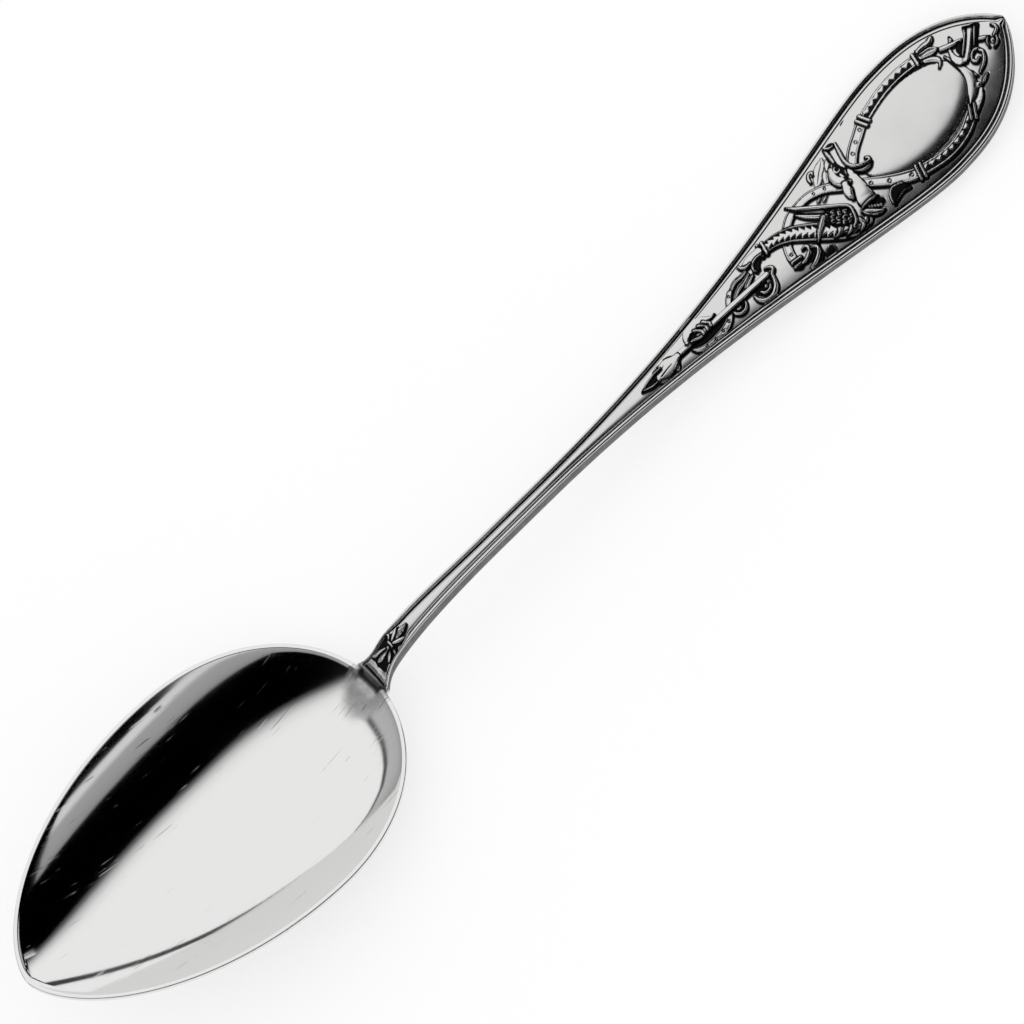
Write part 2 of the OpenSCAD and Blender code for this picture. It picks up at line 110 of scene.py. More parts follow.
# new node: each input is given a value, or the socket that feeds it
def addNode(tree, kind, feeds={}, **settings):
    node = tree.nodes.new("ShaderNode" + kind)
    for key, value in settings.items():
        setattr(node, key, value)
    for key, value in feeds.items():
        if isinstance(value, bpy.types.NodeSocket):
            tree.links.new(value, node.inputs[key])
        else:
            node.inputs[key].default_value = value
    return node.outputs


# new node group: inputs are named with their first value, None for a vector
def newGroup(name, inputs, outputs):
    group = bpy.data.node_groups.new(name, "ShaderNodeTree")
    for key, value in inputs.items():
        kind = "Vector" if value is None else "Color" if isinstance(value, tuple) else "Float"
        socket = group.interface.new_socket(key, in_out="INPUT", socket_type="NodeSocket" + kind)
        if value is not None:
            socket.default_value = value
    for key, kind in outputs.items():
        group.interface.new_socket(key, in_out="OUTPUT", socket_type="NodeSocket" + kind)
    return group, group.nodes.new("NodeGroupInput").outputs, group.nodes.new("NodeGroupOutput").inputs


def softStep(tree, value, low, high):
    return addNode(tree, "MapRange", {"Value": value, "From Min": low, "From Max": high},
                   interpolation_type="SMOOTHSTEP")[0]


def mathNode(tree, operation, *values):
    return addNode(tree, "Math", dict(enumerate(values)), operation=operation)[0]


# fine scratches: stretched noises that cross each other, each with its angle, its scale along and across
scratchLook = dict(crossing=[(0.35, 70, 2600), (1.35, 90, 3100), (2.3, 60, 2300), (2.9, 80, 2900)],
                   lineFrom=0.66, lineFull=0.8, patchFrom=0.5, patchFull=0.62, patchScale=160, patchStep=40)


def scratchGroup():
    look = scratchLook
    group, enter, leave = newGroup("fineScratches", {"Vector": None, "Density": 1.0}, {"Marks": "Float"})
    marks = None
    for turn, (angle, along, across) in enumerate(look["crossing"]):
        place = addNode(group, "Mapping", {"Vector": enter["Vector"], "Rotation": (0, 0, angle),
                                           "Location": (0.3 * turn, 0.17 * turn, 0), "Scale": (along, across, 30)})[0]
        noise = addNode(group, "TexNoise", {"Vector": place, "Scale": 1, "Detail": 1})[0]
        line = softStep(group, noise, look["lineFrom"], look["lineFull"])
        patchScale = look["patchScale"] + look["patchStep"] * turn
        patch = addNode(group, "TexNoise", {"Vector": enter["Vector"], "Scale": patchScale})[0]
        both = mathNode(group, "MULTIPLY", line, softStep(group, patch, look["patchFrom"], look["patchFull"]))
        marks = both if marks is None else mathNode(group, "MAXIMUM", marks, both)
    group.links.new(mathNode(group, "MULTIPLY", marks, enter["Density"]), leave["Marks"])
    return group


# dark oxide and painted shade: where their amount is high the silver turns black and dull
oxideAndShadeLook = dict(cloudScale=900, cloudDetail=3, ragged=0.06, darkFrom=0.18, darkFull=0.8, dull=0.55)


def oxideAndShadeGroup():
    look = oxideAndShadeLook
    group, enter, leave = newGroup("darkOxideAndShade", {"Vector": None, "OxideAndShadeAmount": 0.0, "Silver": (0.8, 0.8, 0.8, 1),
                                                 "OxideAndShadeColor": (0.02, 0.02, 0.02, 1), "Polish": 0.2},
                                   {"Color": "Color", "Roughness": "Float"})
    cloud = addNode(group, "TexNoise", {"Vector": enter["Vector"], "Scale": look["cloudScale"],
                                        "Detail": look["cloudDetail"]})[0]
    spread = addNode(group, "MapRange", {"Value": cloud, "To Min": -look["ragged"], "To Max": look["ragged"]})[0]
    oxideAndShadeAmount = mathNode(group, "ADD", enter["OxideAndShadeAmount"], spread)
    depth = softStep(group, oxideAndShadeAmount, look["darkFrom"], look["darkFull"])
    # sockets 6 and 7 are a colour mix's two colours, 2 and 3 a value mix's two values
    blend = addNode(group, "Mix", {0: depth, 6: enter["Silver"], 7: enter["OxideAndShadeColor"]}, data_type="RGBA")
    dull = addNode(group, "Mix", {0: depth, 2: enter["Polish"], 3: look["dull"]}, data_type="FLOAT")
    group.links.new(blend[2], leave["Color"])
    group.links.new(dull[0], leave["Roughness"])
    return group


scratches = scratchGroup()
oxideAndShade = oxideAndShadeGroup()


def silverFinish(name, look):
    material = bpy.data.materials.new(name)
    material.use_nodes = True
    tree = material.node_tree
    place = addNode(tree, "TexCoord")["Object"]
    oxideAndShadeAmount = addNode(tree, "Attribute", attribute_name="oxideAndShadeAmount")["Fac"]
    marks = addNode(tree, "Group", {"Vector": place, "Density": look["scratches"]}, node_tree=scratches)[0]
    # scratch marks are added to the oxide and painted shade
    marksOxideAndShade = mathNode(tree, "MULTIPLY_ADD", marks, look["markTone"], oxideAndShadeAmount)
    # polish varies softly over the surface and drops where it is scratched
    haze = addNode(tree, "TexNoise", {"Vector": place, "Scale": look["hazeScale"], "Detail": 4})[0]
    level = addNode(tree, "MapRange", {"Value": haze, "From Min": 0.3, "From Max": 0.7,
                                       "To Min": look["polish"] - look["hazeSpread"],
                                       "To Max": look["polish"] + look["hazeSpread"]})[0]
    worn = mathNode(tree, "MULTIPLY_ADD", marks, look["scratchRough"], level)
    oxideAndShadeNode = addNode(tree, "Group", {"Vector": place, "OxideAndShadeAmount": marksOxideAndShade, "Silver": look["silver"] + (1,),
                                      "OxideAndShadeColor": look["oxideAndShade"] + (1,), "Polish": worn}, node_tree=oxideAndShade)
    # scratches and a faint hammered waviness in the normal
    wave = addNode(tree, "TexNoise", {"Vector": place, "Scale": look["waveScale"], "Detail": 2})[0]
    depth = mathNode(tree, "MULTIPLY_ADD", marks, -look["scratchDepth"], wave)
    bump = addNode(tree, "Bump", {"Strength": look["bump"], "Distance": look["bumpHeight"] * mm, "Height": depth})[0]
    shader = tree.nodes["Principled BSDF"]
    shader.inputs["Metallic"].default_value = 1
    tree.links.new(oxideAndShadeNode["Color"], shader.inputs["Base Color"])
    tree.links.new(oxideAndShadeNode["Roughness"], shader.inputs["Roughness"])
    tree.links.new(bump, shader.inputs["Normal"])
    return material


# the oxide colour darkens oxide in the hollows and also the painted shade
bowlLook = dict(silver=(0.79, 0.79, 0.785), oxideAndShade=(0.03, 0.03, 0.03), polish=0.06, hazeSpread=0.02,
                hazeScale=60, scratches=0.8, scratchRough=0.2, scratchDepth=1.2, waveScale=140,
                bump=0.25, bumpHeight=0.02, markTone=0.5)
handleLook = dict(silver=(0.68, 0.68, 0.675), oxideAndShade=(0.012, 0.012, 0.012), polish=0.22, hazeSpread=0.05,
                  hazeScale=220, scratches=0.5, scratchRough=0.15, scratchDepth=1.0, waveScale=420,
                  bump=0.12, bumpHeight=0.012, markTone=0.35)
bowlSilver = silverFinish("polishedSilver", bowlLook)
handleSilver = silverFinish("satinSilver", handleLook)


# sizes of the bowl and of the handle, whose length also places the bowl
bowl = dict(length=73.6, width=46.4, wideAt=45, tipPoint=1.22, neckSquare=0.945, deepAt=42, depth=9.6,
            wall=1.1, dishPower=2.3, lipWidth=0.8, lipHeight=0.8, lipInner=0.1, tilt=12.5, sides=256, rings=44,
            outerRings=38, sinkDepth=0.62, sinkHalf=2.5, sinkSoft=0.7, sinkRun=0.045)
handle = dict(length=144.5, neckWidth=4.3, neckThick=3.6, shoulder=1.3, shoulderRun=5, heelLength=13,
              heelThick=0.9, heelTip=1.1, stemWidth=3.2, stemThick=3.5, stemAt=28, flareAt=40,
              flareStart=0.5, flareEnd=0.14, endWidth=23.2, endThick=2.1, pointLength=21.5, tipThick=1.9,
              pointHalf=0.2, endPoint=2.56, endRound=0.79, crestZ=6.9, crestAt=15, crestPower=2.5,
              restAt=27, tipLift=3.4, rootThick=2.3, rootRun=6, rootDrop=0.8, threadWidth=0.65, neckThread=0.45,
              neckThreadAt=5.5, neckThreadRun=4, grooveEnd=1.3, fieldAt=1.75, rampSpread=0.6, roomAt=2.5,
              roomRun=4, threadLimit=2.1, crown=0.9, coreDrop=0.85)

rearLength = bowl["length"] - bowl["wideAt"]
deepX = bowl["deepAt"] - bowl["length"]
outerDepth = bowl["depth"] + bowl["wall"] - bowl["lipHeight"]
tilt = math.radians(bowl["tilt"])


def rimPoint(angle, inset):
    c, s = np.cos(angle), np.sin(angle)
    half = bowl["width"] / 2 - inset
    front = -rearLength + (bowl["wideAt"] - inset) * c
    rear = -rearLength + (rearLength - inset) * np.abs(c) ** bowl["neckSquare"]
    pointed = np.sign(s) * np.abs(s) ** bowl["tipPoint"]
    return np.where(c < 0, front, rear), np.where(c < 0, half * pointed, half * s)


def dish(r):
    return 1 - np.abs(r) ** bowl["dishPower"]


def tilted(x, y, z):
    return np.stack([x * math.cos(tilt) + z * math.sin(tilt), y + 0 * x,
                     z * math.cos(tilt) - x * math.sin(tilt)], -1)


r = np.linspace(0, 1, 61)
neckZ = -tilted(mix(deepX, 0, r), 0, -bowl["lipHeight"] - outerDepth * dish(r))[:, 2].min()
lowX = -bowl["length"] * math.cos(tilt) - bowl["lipHeight"] * math.sin(tilt)
middle = np.array([-(lowX + handle["length"]) / 2, 0, 0])  # from the neck to the middle of the spoon

# section of the lip, from the hollow outwards: share of its width, height
lip = [(1, -0.1), (0.94, -0.055), (0.86, -0.02), (0.7, 0), (0.5, 0.0), (0.3, -0.004), (0.16, -0.03),
       (0.06, -0.09), (0, -0.2), (0, -0.5), (0, -0.74)]


def bowlPoints():
    inside = [(r, bowl["lipWidth"], -bowl["lipInner"], bowl["depth"] - bowl["lipInner"])
              for r in np.linspace(0, 1, bowl["rings"])]
    edge = [(1, inset * bowl["lipWidth"], z, 0) for inset, z in lip]
    outside = [(r, 0, -bowl["lipHeight"], outerDepth) for r in np.linspace(1, 0, bowl["outerRings"])]
    angle = np.linspace(0, 2 * math.pi, bowl["sides"] + 1)
    rows = []
    for r, inset, top, deep in inside + edge + outside:
        x, y = rimPoint(angle, inset)
        # the lip sinks where the neck runs in
        beside = ease((bowl["sinkHalf"] - np.abs(y * r)) / bowl["sinkSoft"])
        sink = bowl["sinkDepth"] * np.where(np.cos(angle) > 0, beside, 0)
        sink = sink * ease((r - 1 + bowl["sinkRun"]) / bowl["sinkRun"]) * (deep != outerDepth)
        level = top - sink * np.clip((top + 0.8) / 0.7, 0, 1)
        rows.append(tilted(mix(deepX, x, r), y * r, level - deep * dish(r)) + [0, 0, neckZ])
    return np.array(rows) + middle


# in the bowl: a dark line where the neck runs in, and painted shade, a little grey, in the hollow beside it
neckShadeAndLine = dict(tone=0.5, length=9, width=5, shift=-0.5, reach=1.3, soft=0.8,
             lineTone=0.8, lineHalf=3.0, lineSoft=0.8, lineAt=-1.6, lineRun=0.5)

bowlSheet = bowlPoints()
bowlShadeAndLine = np.zeros(bowlSheet.shape[:2])
upper = bowl["rings"] + len(lip)
neckward, beside = (bowlSheet - middle)[:upper, :, 0], bowlSheet[:upper, :, 1]
cloud = np.hypot(neckward / neckShadeAndLine["length"], (beside - neckShadeAndLine["shift"]) / neckShadeAndLine["width"])
line = ease((neckShadeAndLine["lineHalf"] - np.abs(beside)) / neckShadeAndLine["lineSoft"])
bowlShadeAndLine[:upper] = np.maximum(neckShadeAndLine["tone"] * ease((neckShadeAndLine["reach"] - cloud) / neckShadeAndLine["soft"]),
                                neckShadeAndLine["lineTone"] * line * ease((neckward - neckShadeAndLine["lineAt"]) / neckShadeAndLine["lineRun"]))
skinSheet("bowl", bowlSheet, bowlSilver, bowlShadeAndLine)


# handle: its outline, back and thickness along its length from the neck
wideX = handle["length"] - handle["pointLength"]
restX = handle["length"] - handle["restAt"]


def halfWidth(x):
    stem = mix(handle["neckWidth"], handle["stemWidth"], rise(x / handle["stemAt"])) / 2
    stem = stem + handle["shoulder"] * (1 - np.clip(x / handle["shoulderRun"], 0, 1)) ** 3
    flare = rise((x - handle["flareAt"]) / (wideX - handle["flareAt"]), handle["flareStart"], handle["flareEnd"])
    blade = mix(handle["stemWidth"], handle["endWidth"], flare) / 2
    past = np.clip((x - wideX) / handle["pointLength"], 0, 1)
    point = mix(handle["pointHalf"], handle["endWidth"] / 2,
                (1 - past ** handle["endPoint"]) ** handle["endRound"])
    return np.where(x < handle["flareAt"], stem, np.where(x < wideX, blade, point))


def slant(x):
    return np.sqrt(1 + ((halfWidth(x + 0.1) - halfWidth(x - 0.1)) / 0.2) ** 2)


def backZ(x):
    climb = 1 - np.clip(1 - x / handle["crestAt"], 0, 1) ** handle["crestPower"]
    root = mix(neckZ - handle["rootThick"], handle["crestZ"], climb)
    run = handle["crestZ"] * (1 - rise((x - handle["crestAt"]) / (restX - handle["crestAt"]), 0.12, 0.34))
    lift = handle["tipLift"] * np.clip((x - restX) / handle["restAt"], 0, 1) ** 2.6
    return np.where(x < handle["crestAt"], root, np.where(x < restX, run, lift))


def thickness(x):
    root = mix(handle["rootThick"], handle["neckThick"], rise(x / handle["rootRun"]))
    neckRun = (x - handle["rootRun"]) / (handle["stemAt"] - handle["rootRun"])
    neck = mix(handle["neckThick"], handle["stemThick"], rise(neckRun))
    bladeRun = (x - handle["flareAt"]) / (wideX - handle["flareAt"])
    blade = mix(handle["stemThick"], handle["endThick"], rise(bladeRun, 0.3, 0.3))
    point = mix(handle["endThick"], handle["tipThick"], (x - wideX) / handle["pointLength"])
    return np.where(x < handle["rootRun"], root,
                    np.where(x < handle["flareAt"], neck, np.where(x < wideX, blade, point)))


def topZ(x):
    return backZ(x) + thickness(x)


# raised thread and its groove: distance from the edge in thread widths, height in mm
thread = [(0, -0.3), (0.03, -0.2), (0.1, -0.11), (0.2, -0.045), (0.33, -0.008), (0.5, 0), (0.66, -0.012),
          (0.8, -0.06), (0.91, -0.15), (1.0, -0.3), (1.08, -0.48), (1.18, -0.6), (1.3, -0.63)]
# the same from the groove to the field, with the oxide there
fieldEdge = [(1.22, -0.66, 1), (1.24, -0.61, 0.9), (1.34, -0.6, 0.4), (1.48, -0.5, 0.0), (1.66, -0.47, 0.0),
             (1.8, -0.5, 0.5), (1.95, -0.55, 1), (2.12, -0.47, 0.9), (2.3, -0.42, 0.1)]


# how far inside the edge a profile point lies, squeezed where the handle is narrow
def fromEdge(x, d):
    near = min(d, handle["fieldAt"])
    far = max(d - handle["fieldAt"], 0) + max(near - handle["grooveEnd"], 0) * handle["rampSpread"]
    room = np.clip((halfWidth(x) - handle["roomAt"]) / handle["roomRun"], 0, 1)
    narrow = mix(handle["neckThread"], 1, ease((x - handle["neckThreadAt"]) / handle["neckThreadRun"]))
    across = handle["threadWidth"] * slant(x)
    return (np.minimum(near * across * narrow, halfWidth(x) * near / handle["threadLimit"])
            + far * across * room)


# swell of the field towards its middle
def crownAt(x, y):
    swell = np.clip(1 - (y / (halfWidth(x) - fromEdge(x, handle["fieldAt"]))) ** 2, 0, 1)
    return handle["crown"] * np.clip(halfWidth(x) / handle["endWidth"] * 2, 0, 1) * swell


heelRows, backRows = 24, 25
backAngles = np.radians(np.linspace(86, -86, backRows))


# rounding of the back: 0 in the middle, 1 at the sides
def rounded(v):
    return 1 - math.sqrt(1 - v ** 4)


# section of the root and heel, inside the bowl's wall and proud of its back
def rootPoints():
    heel = np.linspace(0, 1, heelRows)
    x = -handle["heelLength"] * (1 - heel)
    r = np.clip((x - deepX) / -deepX, 0, 1)
    wide = mix(handle["heelTip"], halfWidth(np.zeros(1))[0], rise(heel))
    low = (-bowl["lipHeight"] - outerDepth * dish(r)
           - mix(0, handle["rootThick"] - bowl["lipHeight"], heel ** 4)
           - handle["heelThick"] * rise(heel) * (1 - heel ** 4))
    high = -(bowl["depth"] + bowl["wall"] * 0.5) * dish(r) - mix(0.5, 0.15, heel)
    rows = []
    for v in np.linspace(-1, 1, len(thread) * 2 + 3):
        drop = handle["rootDrop"] * heel ** 8 * ease((0.95 - abs(v)) / 0.2)
        rows.append(tilted(x, v * wide, high - drop))
    rows.append(tilted(x, wide, mix(high, low, 0.3)))
    for v in np.sin(backAngles):
        rows.append(tilted(x, v * wide, low + (high - low) * 0.5 * rounded(v)))
    rows.append(tilted(x, -wide, mix(high, low, 0.3)))
    rows.append(rows[0])
    return np.array(rows) + [0, 0, neckZ]


def framePoints():
    # stations along the handle, closest at its end
    x = np.concatenate([[0.4, 0.9], np.arange(1.4, 10, 0.6), np.arange(10.5, 58, 1.5), np.arange(58.8, 118, 0.8),
                        np.arange(118.4, 140, 0.4), np.linspace(140.1, handle["length"], 18)])
    half, low, top = halfWidth(x), backZ(x), topZ(x)
    bulge = np.minimum(thickness(x) * 0.45, mix(1.2, 0.5, np.clip((half - 1.5) / 5, 0, 1)))
    inner = half - fromEdge(x, handle["grooveEnd"])
    rows = [np.stack([x, -(half - fromEdge(x, d)), top + z], -1) for d, z in thread]
    rows += [np.stack([x, v * inner, top - handle["coreDrop"]], -1) for v in (-0.6, 0, 0.6)]
    rows += [np.stack([x, half - fromEdge(x, d), top + z], -1) for d, z in thread[::-1]]
    rows.append(np.stack([x, half, mix(top - 0.3, low + bulge, 0.5)], -1))
    rows += [np.stack([x, v * half, low + bulge * rounded(v)], -1) for v in np.sin(backAngles)]
    rows.append(np.stack([x, -half, mix(top - 0.3, low + bulge, 0.5)], -1))
    rows.append(rows[0])
    return capped(np.concatenate([rootPoints(), rows], axis=1)) + middle


frameSheet = framePoints()
frameOxideAndShade = np.zeros(frameSheet.shape[:2])
n, bodyStart = len(thread), heelRows + 1
grooveTone = ease((np.array([d for d, z in thread]) - 0.98) / 0.1)
frameOxideAndShade[:2 * n + 3, bodyStart:] = np.concatenate([grooveTone, [1] * 3, grooveTone[::-1]])[:, None]
# painted shade: the sides and the outermost rows beside them are greyed, standing in for darker surroundings they
# mirror
leftSide, rightSide = 2 * n + 3, 2 * n + 4 + backRows
for row, value in ((0, 0.6), (1, 0.3), (leftSide - 2, 0.0), (leftSide - 1, 0.2), (leftSide, 0.62),
                   (leftSide + 1, 0.6), (leftSide + 2, 0.3), (rightSide - 2, 0.3), (rightSide - 1, 0.6),
                   (rightSide, 0.62), (rightSide + 1, 0.6)):
    frameOxideAndShade[row, bodyStart:] = value
skinSheet("handle", frameSheet, handleSilver, frameOxideAndShade)


# face of the handle: the field inside the thread, with the chased relief
relief = dict(band=0.5, body=0.7, head=1.0, shield=0.4, shieldAt=21.5, shieldLength=22.6, shieldWidth=12.8,
              strap=1.9, pitch=1.35, slant=0.07, staff=0.95, soft=0.13, chaseDepth=0.06, chaseWidth=0.3,
              wallShade=0.06, shadeNear=0.28, shadeFar=0.75, start=-1.7, neckEnd=12.4, bladeStart=59.5,
              startRun=1.8, startDrop=1.1, startShade=0.66, neckRows=96, stemRows=34, bladeRows=562, cols=122,
              coreDrop=1.1)
fine = np.linspace(handle["length"] - 4, handle["length"] - 0.2, 400)
tipEnd = fine[halfWidth(fine) - fromEdge(fine, handle["grooveEnd"]) > 0.3].max()
faceX = np.concatenate([np.linspace(relief["start"], relief["neckEnd"], relief["neckRows"]),
                        np.linspace(relief["neckEnd"], relief["bladeStart"], relief["stemRows"])[1:],
                        np.linspace(relief["bladeStart"], tipEnd, relief["bladeRows"])[1:]])
edgeD, edgeZ, edgeTone = np.array(fieldEdge).T
edgeCount = len(fieldEdge)
half = halfWidth(faceX)
inner = half - fromEdge(faceX, edgeD[-1])
columns = [-(half - fromEdge(faceX, d)) for d in edgeD]
columns += [inner * v for v in np.linspace(-1, 1, relief["cols"] + 1)[1:-1]]
columns += [half - fromEdge(faceX, d) for d in edgeD[::-1]]
side = np.array(columns)
along = np.broadcast_to(faceX, side.shape).copy()
fromTip = handle["length"] - along + relief["slant"] * side  # the drawn relief leans a little
raised = np.zeros_like(side)  # height over the field
dark = np.zeros_like(side)    # oxide left in the recesses, and painted shadow round the strokes


# smooth path through given stations: way from the tip, side, width and height
def smoothPath(stations, step=0.1):
    p = np.array(stations, float)
    p = np.vstack([2 * p[0] - p[1], p, 2 * p[-1] - p[-2]])
    parts = []
    for a, b, c, d in zip(p[:-3], p[1:-2], p[2:-1], p[3:]):
        count = max(2, int(math.hypot(*(c - b)[:2]) / step))
        t = np.linspace(0, 1, count, endpoint=False)[:, None]
        parts.append(0.5 * (2 * b + (c - a) * t + (2 * a - 5 * b + 4 * c - d) * t ** 2
                            + (3 * b - a - 3 * c + d) * t ** 3))
    return np.vstack(parts + [p[-2:-1]])


# for every point near a path: signed distance, way along it, its width and height there, and how far below it
def alongPath(stations, margin=0.5, height=1):
    path = smoothPath([(a, b, width, height * (share[0] if share else 1)) for a, b, width, *share in stations])
    reach = path[:, 2].max() / 2 + margin
    near = np.nonzero((fromTip > path[:, 0].min() - reach) & (fromTip < path[:, 0].max() + reach)
                      & (side > path[:, 1].min() - reach) & (side < path[:, 1].max() + reach))
    a, b = fromTip[near], side[near]
    gap = (a[:, None] - path[:, 0]) ** 2 + (b[:, None] - path[:, 1]) ** 2
    k = gap.argmin(axis=1)
    way = np.gradient(path[:, :2], axis=0)
    way /= np.linalg.norm(way, axis=1)[:, None] + 1e-9
    run = np.concatenate([[0], np.cumsum(np.linalg.norm(np.diff(path[:, :2], axis=0), axis=1))])
    hand = np.sign(way[k, 0] * (b - path[k, 1]) - way[k, 1] * (a - path[k, 0]))
    dist = np.sqrt(gap[np.arange(len(k)), k]) * np.where(hand == 0, 1, hand)
    ahead = way[k, 0] * (a - path[k, 0]) + way[k, 1] * (b - path[k, 1])
    below = (path[k, 1] - b + 0.35 * (a - path[k, 0])) / (np.abs(dist) + 0.05)
    return near, dist, run[k] + ahead, np.maximum(path[k, 2], 0.05), path[k, 3], np.clip(below, 0, 1)


# sections of a stroke: each gives height and oxide from v, -1 to 1 across, and the way along
def domed(v, run):
    return np.sqrt(np.clip(1 - 0.8 * v * v, 0.05, 1)), 0.25 * ease((np.abs(v) - 0.75) * 4)


def flat(v, run):
    return 1 - 0.35 * np.abs(v) ** 6, 0 * v


def leafy(v, run):
    vein = bell(v, 0.16)
    ribs = 0.08 * np.cos(run * 9 - 2.5 * np.abs(v))
    return 1 - 0.5 * np.abs(v) ** 1.4 - 0.3 * vein + ribs * np.abs(v), 0.75 * vein + 0.2 * np.abs(v)


def bevelled(v, run):
    return 1 - 0.55 * np.abs(v), 0 * v


# smooth and bright, barely rounded
def satin(v, run):
    return 0.9 - 0.12 * v * v, 0.3 * ease((np.abs(v) - 0.8) * 5)


# sunk and quite black
def blackened(v, run):
    return 1 + 0 * v, 1 + 0 * v


def hollow(v, run):
    edge, line = bell(np.abs(v) - 0.8, 0.16), bell(np.abs(v) - 0.3, 0.12)
    return 0.5 + 0.5 * edge - 0.15 * line, 0.2 * (1 - edge) + 0.6 * line


def strap(v, run):
    edge, line = bell(np.abs(v) - 0.82, 0.14), bell(np.abs(v) - 0.6, 0.09)
    return 0.62 + 0.38 * edge - 0.15 * line, 0.8 * line


# strap with a row of teeth, its points to one side, and its surface banked outwards
def toothed(hand, first, last, bank=0):
    def shape(v, run):
        top, tone = strap(v, run)
        saw = np.abs((run / relief["pitch"]) % 1 * 2 - 1)
        tooth = ease((0.3 - hand * v - 0.75 * saw) * 5 + 0.5)
        inside = ease((0.62 - np.abs(v)) * 8) * ease((run - first) * 3) * ease((last - run) * 3)
        return mix(top, 0.3 + 0.45 * tooth, inside) - bank * v, mix(tone, 1 - tooth, inside)
    return shape


# back of the beast: a ridge with spikes to both sides between two edge lines
def spined(v, run):
    edge = bell(np.abs(v) - 0.86, 0.1)
    saw = (run / 1.05 + 0.5 * (v > 0)) % 1
    spine = ease((0.18 + 0.5 * saw - np.abs(v)) * 6 + 0.5)
    return np.maximum(0.3 + 0.55 * spine - 0.1 * np.abs(v), 0.75 * edge), (1 - spine) * (1 - edge)


def scaled(v, run):
    row = run + 0.12 * np.sin(7 * v)
    shift = 0.5 * (np.floor(row) % 2) + 0.13 * np.sin(3 * np.floor(row))
    cell = (v * 1.5 + shift) % 1 - 0.5
    up = row % 1
    far = np.hypot(cell * 1.25, up - 0.25)
    moon = ease(1.5 - np.abs(far - 0.34) / 0.15) * ease((up - 0.02) * 5)
    return 0.5 + 0.5 * moon, 1 - moon


# lays one stroke over what is there, with a chased line round it and a painted shadow beyond that, wider on its lower
# right side
# a station's fourth number is its share of the height, 1 where there is none
def lay(height, stations, shape=domed, chase=1, shade=1):
    near, dist, run, width, level, below = alongPath(stations, 1.0, height)
    gap = np.abs(dist) - width / 2
    cover = ease(0.5 - gap / relief["soft"])
    top, tone = shape(dist / (width / 2), run)
    ring = ease(1 - np.maximum(gap, 0) / relief["chaseWidth"])
    ground = raised[near] - relief["chaseDepth"] * chase * ring
    raised[near] = mix(ground, level * top, cover)
    inside = ease(0.5 - (gap + relief["wallShade"]) / relief["soft"])
    # painted shadow round the stroke, reaching further where the point lies below it
    shadow = ease(1.15 - np.maximum(gap, 0) / mix(relief["shadeNear"], relief["shadeFar"], below))
    dark[near] = mix(np.maximum(dark[near], shade * shadow), tone, inside)


# points near a spot, and how far they are from it
def around(a, b, reach):
    near = np.nonzero((np.abs(fromTip - a) < reach) & (np.abs(side - b) < reach))
    return near, np.hypot(fromTip[near] - a, side[near] - b)


def knob(a, b, r, height, ringed=0.0):
    near, d = around(a, b, r + 0.5)
    cover = ease(0.5 - (d - r) / 0.12)
    ring = ease(1 - np.maximum(d - r, 0) / 0.25)
    dome = height * np.sqrt(np.clip(1 - 0.75 * (d / r) ** 2, 0, 1))
    raised[near] = mix(raised[near] - relief["chaseDepth"] * ring, dome, cover)
    dark[near] = mix(np.maximum(dark[near], ring * 0.9), ringed * ease((d / r - 0.45) * 5), cover)


# raised ring round a black middle
def bead(a, b, r, height):
    near, d = around(a, b, r + 0.5)
    ring = bell(d - r, 0.12)
    raised[near] = np.maximum(raised[near], height * (0.75 + 0.25 * ring) * ease((r + 0.2 - d) * 8))
    dark[near] = mix(np.where(d < r, 1.0, dark[near]), 0, ring)


# small round punch mark
def punch(a, b, r=0.26, depth=0.2):
    near, d = around(a, b, r + 0.4)
    ring = bell(d - r, 0.1)
    raised[near] -= depth * ring
    dark[near] = np.maximum(dark[near], ring)


# cut line
def cut(stations, depth=0.12):
    near, dist, run, width = alongPath(stations)[:4]
    line = ease(1 - np.abs(dist) / (width * 0.75))
    raised[near] -= depth * line
    dark[near] = np.maximum(dark[near], line)


# two raised bars across a strap
def collar(a, b, turn, width, height):
    c, s = math.cos(math.radians(turn)), math.sin(math.radians(turn))
    for off in (-0.42, 0.42):
        lay(height, [(a + off * c + v * width * s, b + off * s - v * width * c, 0.5) for v in (-0.58, 0, 0.58)])


def chaseShield():
    q = np.hypot((handle["length"] - along - relief["shieldAt"]) / (relief["shieldLength"] / 2),
                 side / (relief["shieldWidth"] / 2))
    dome = (relief["shield"] * (1 - 0.85 * np.clip(q, 0, 1) ** 8)
            + 0.7 * (handle["crown"] - crownAt(along, side)))
    raised[:] = np.where(q < 1, np.maximum(raised, dome), raised)
    dark[:] = np.maximum(dark, 0.9 * bell(q - 1.015, 0.02))


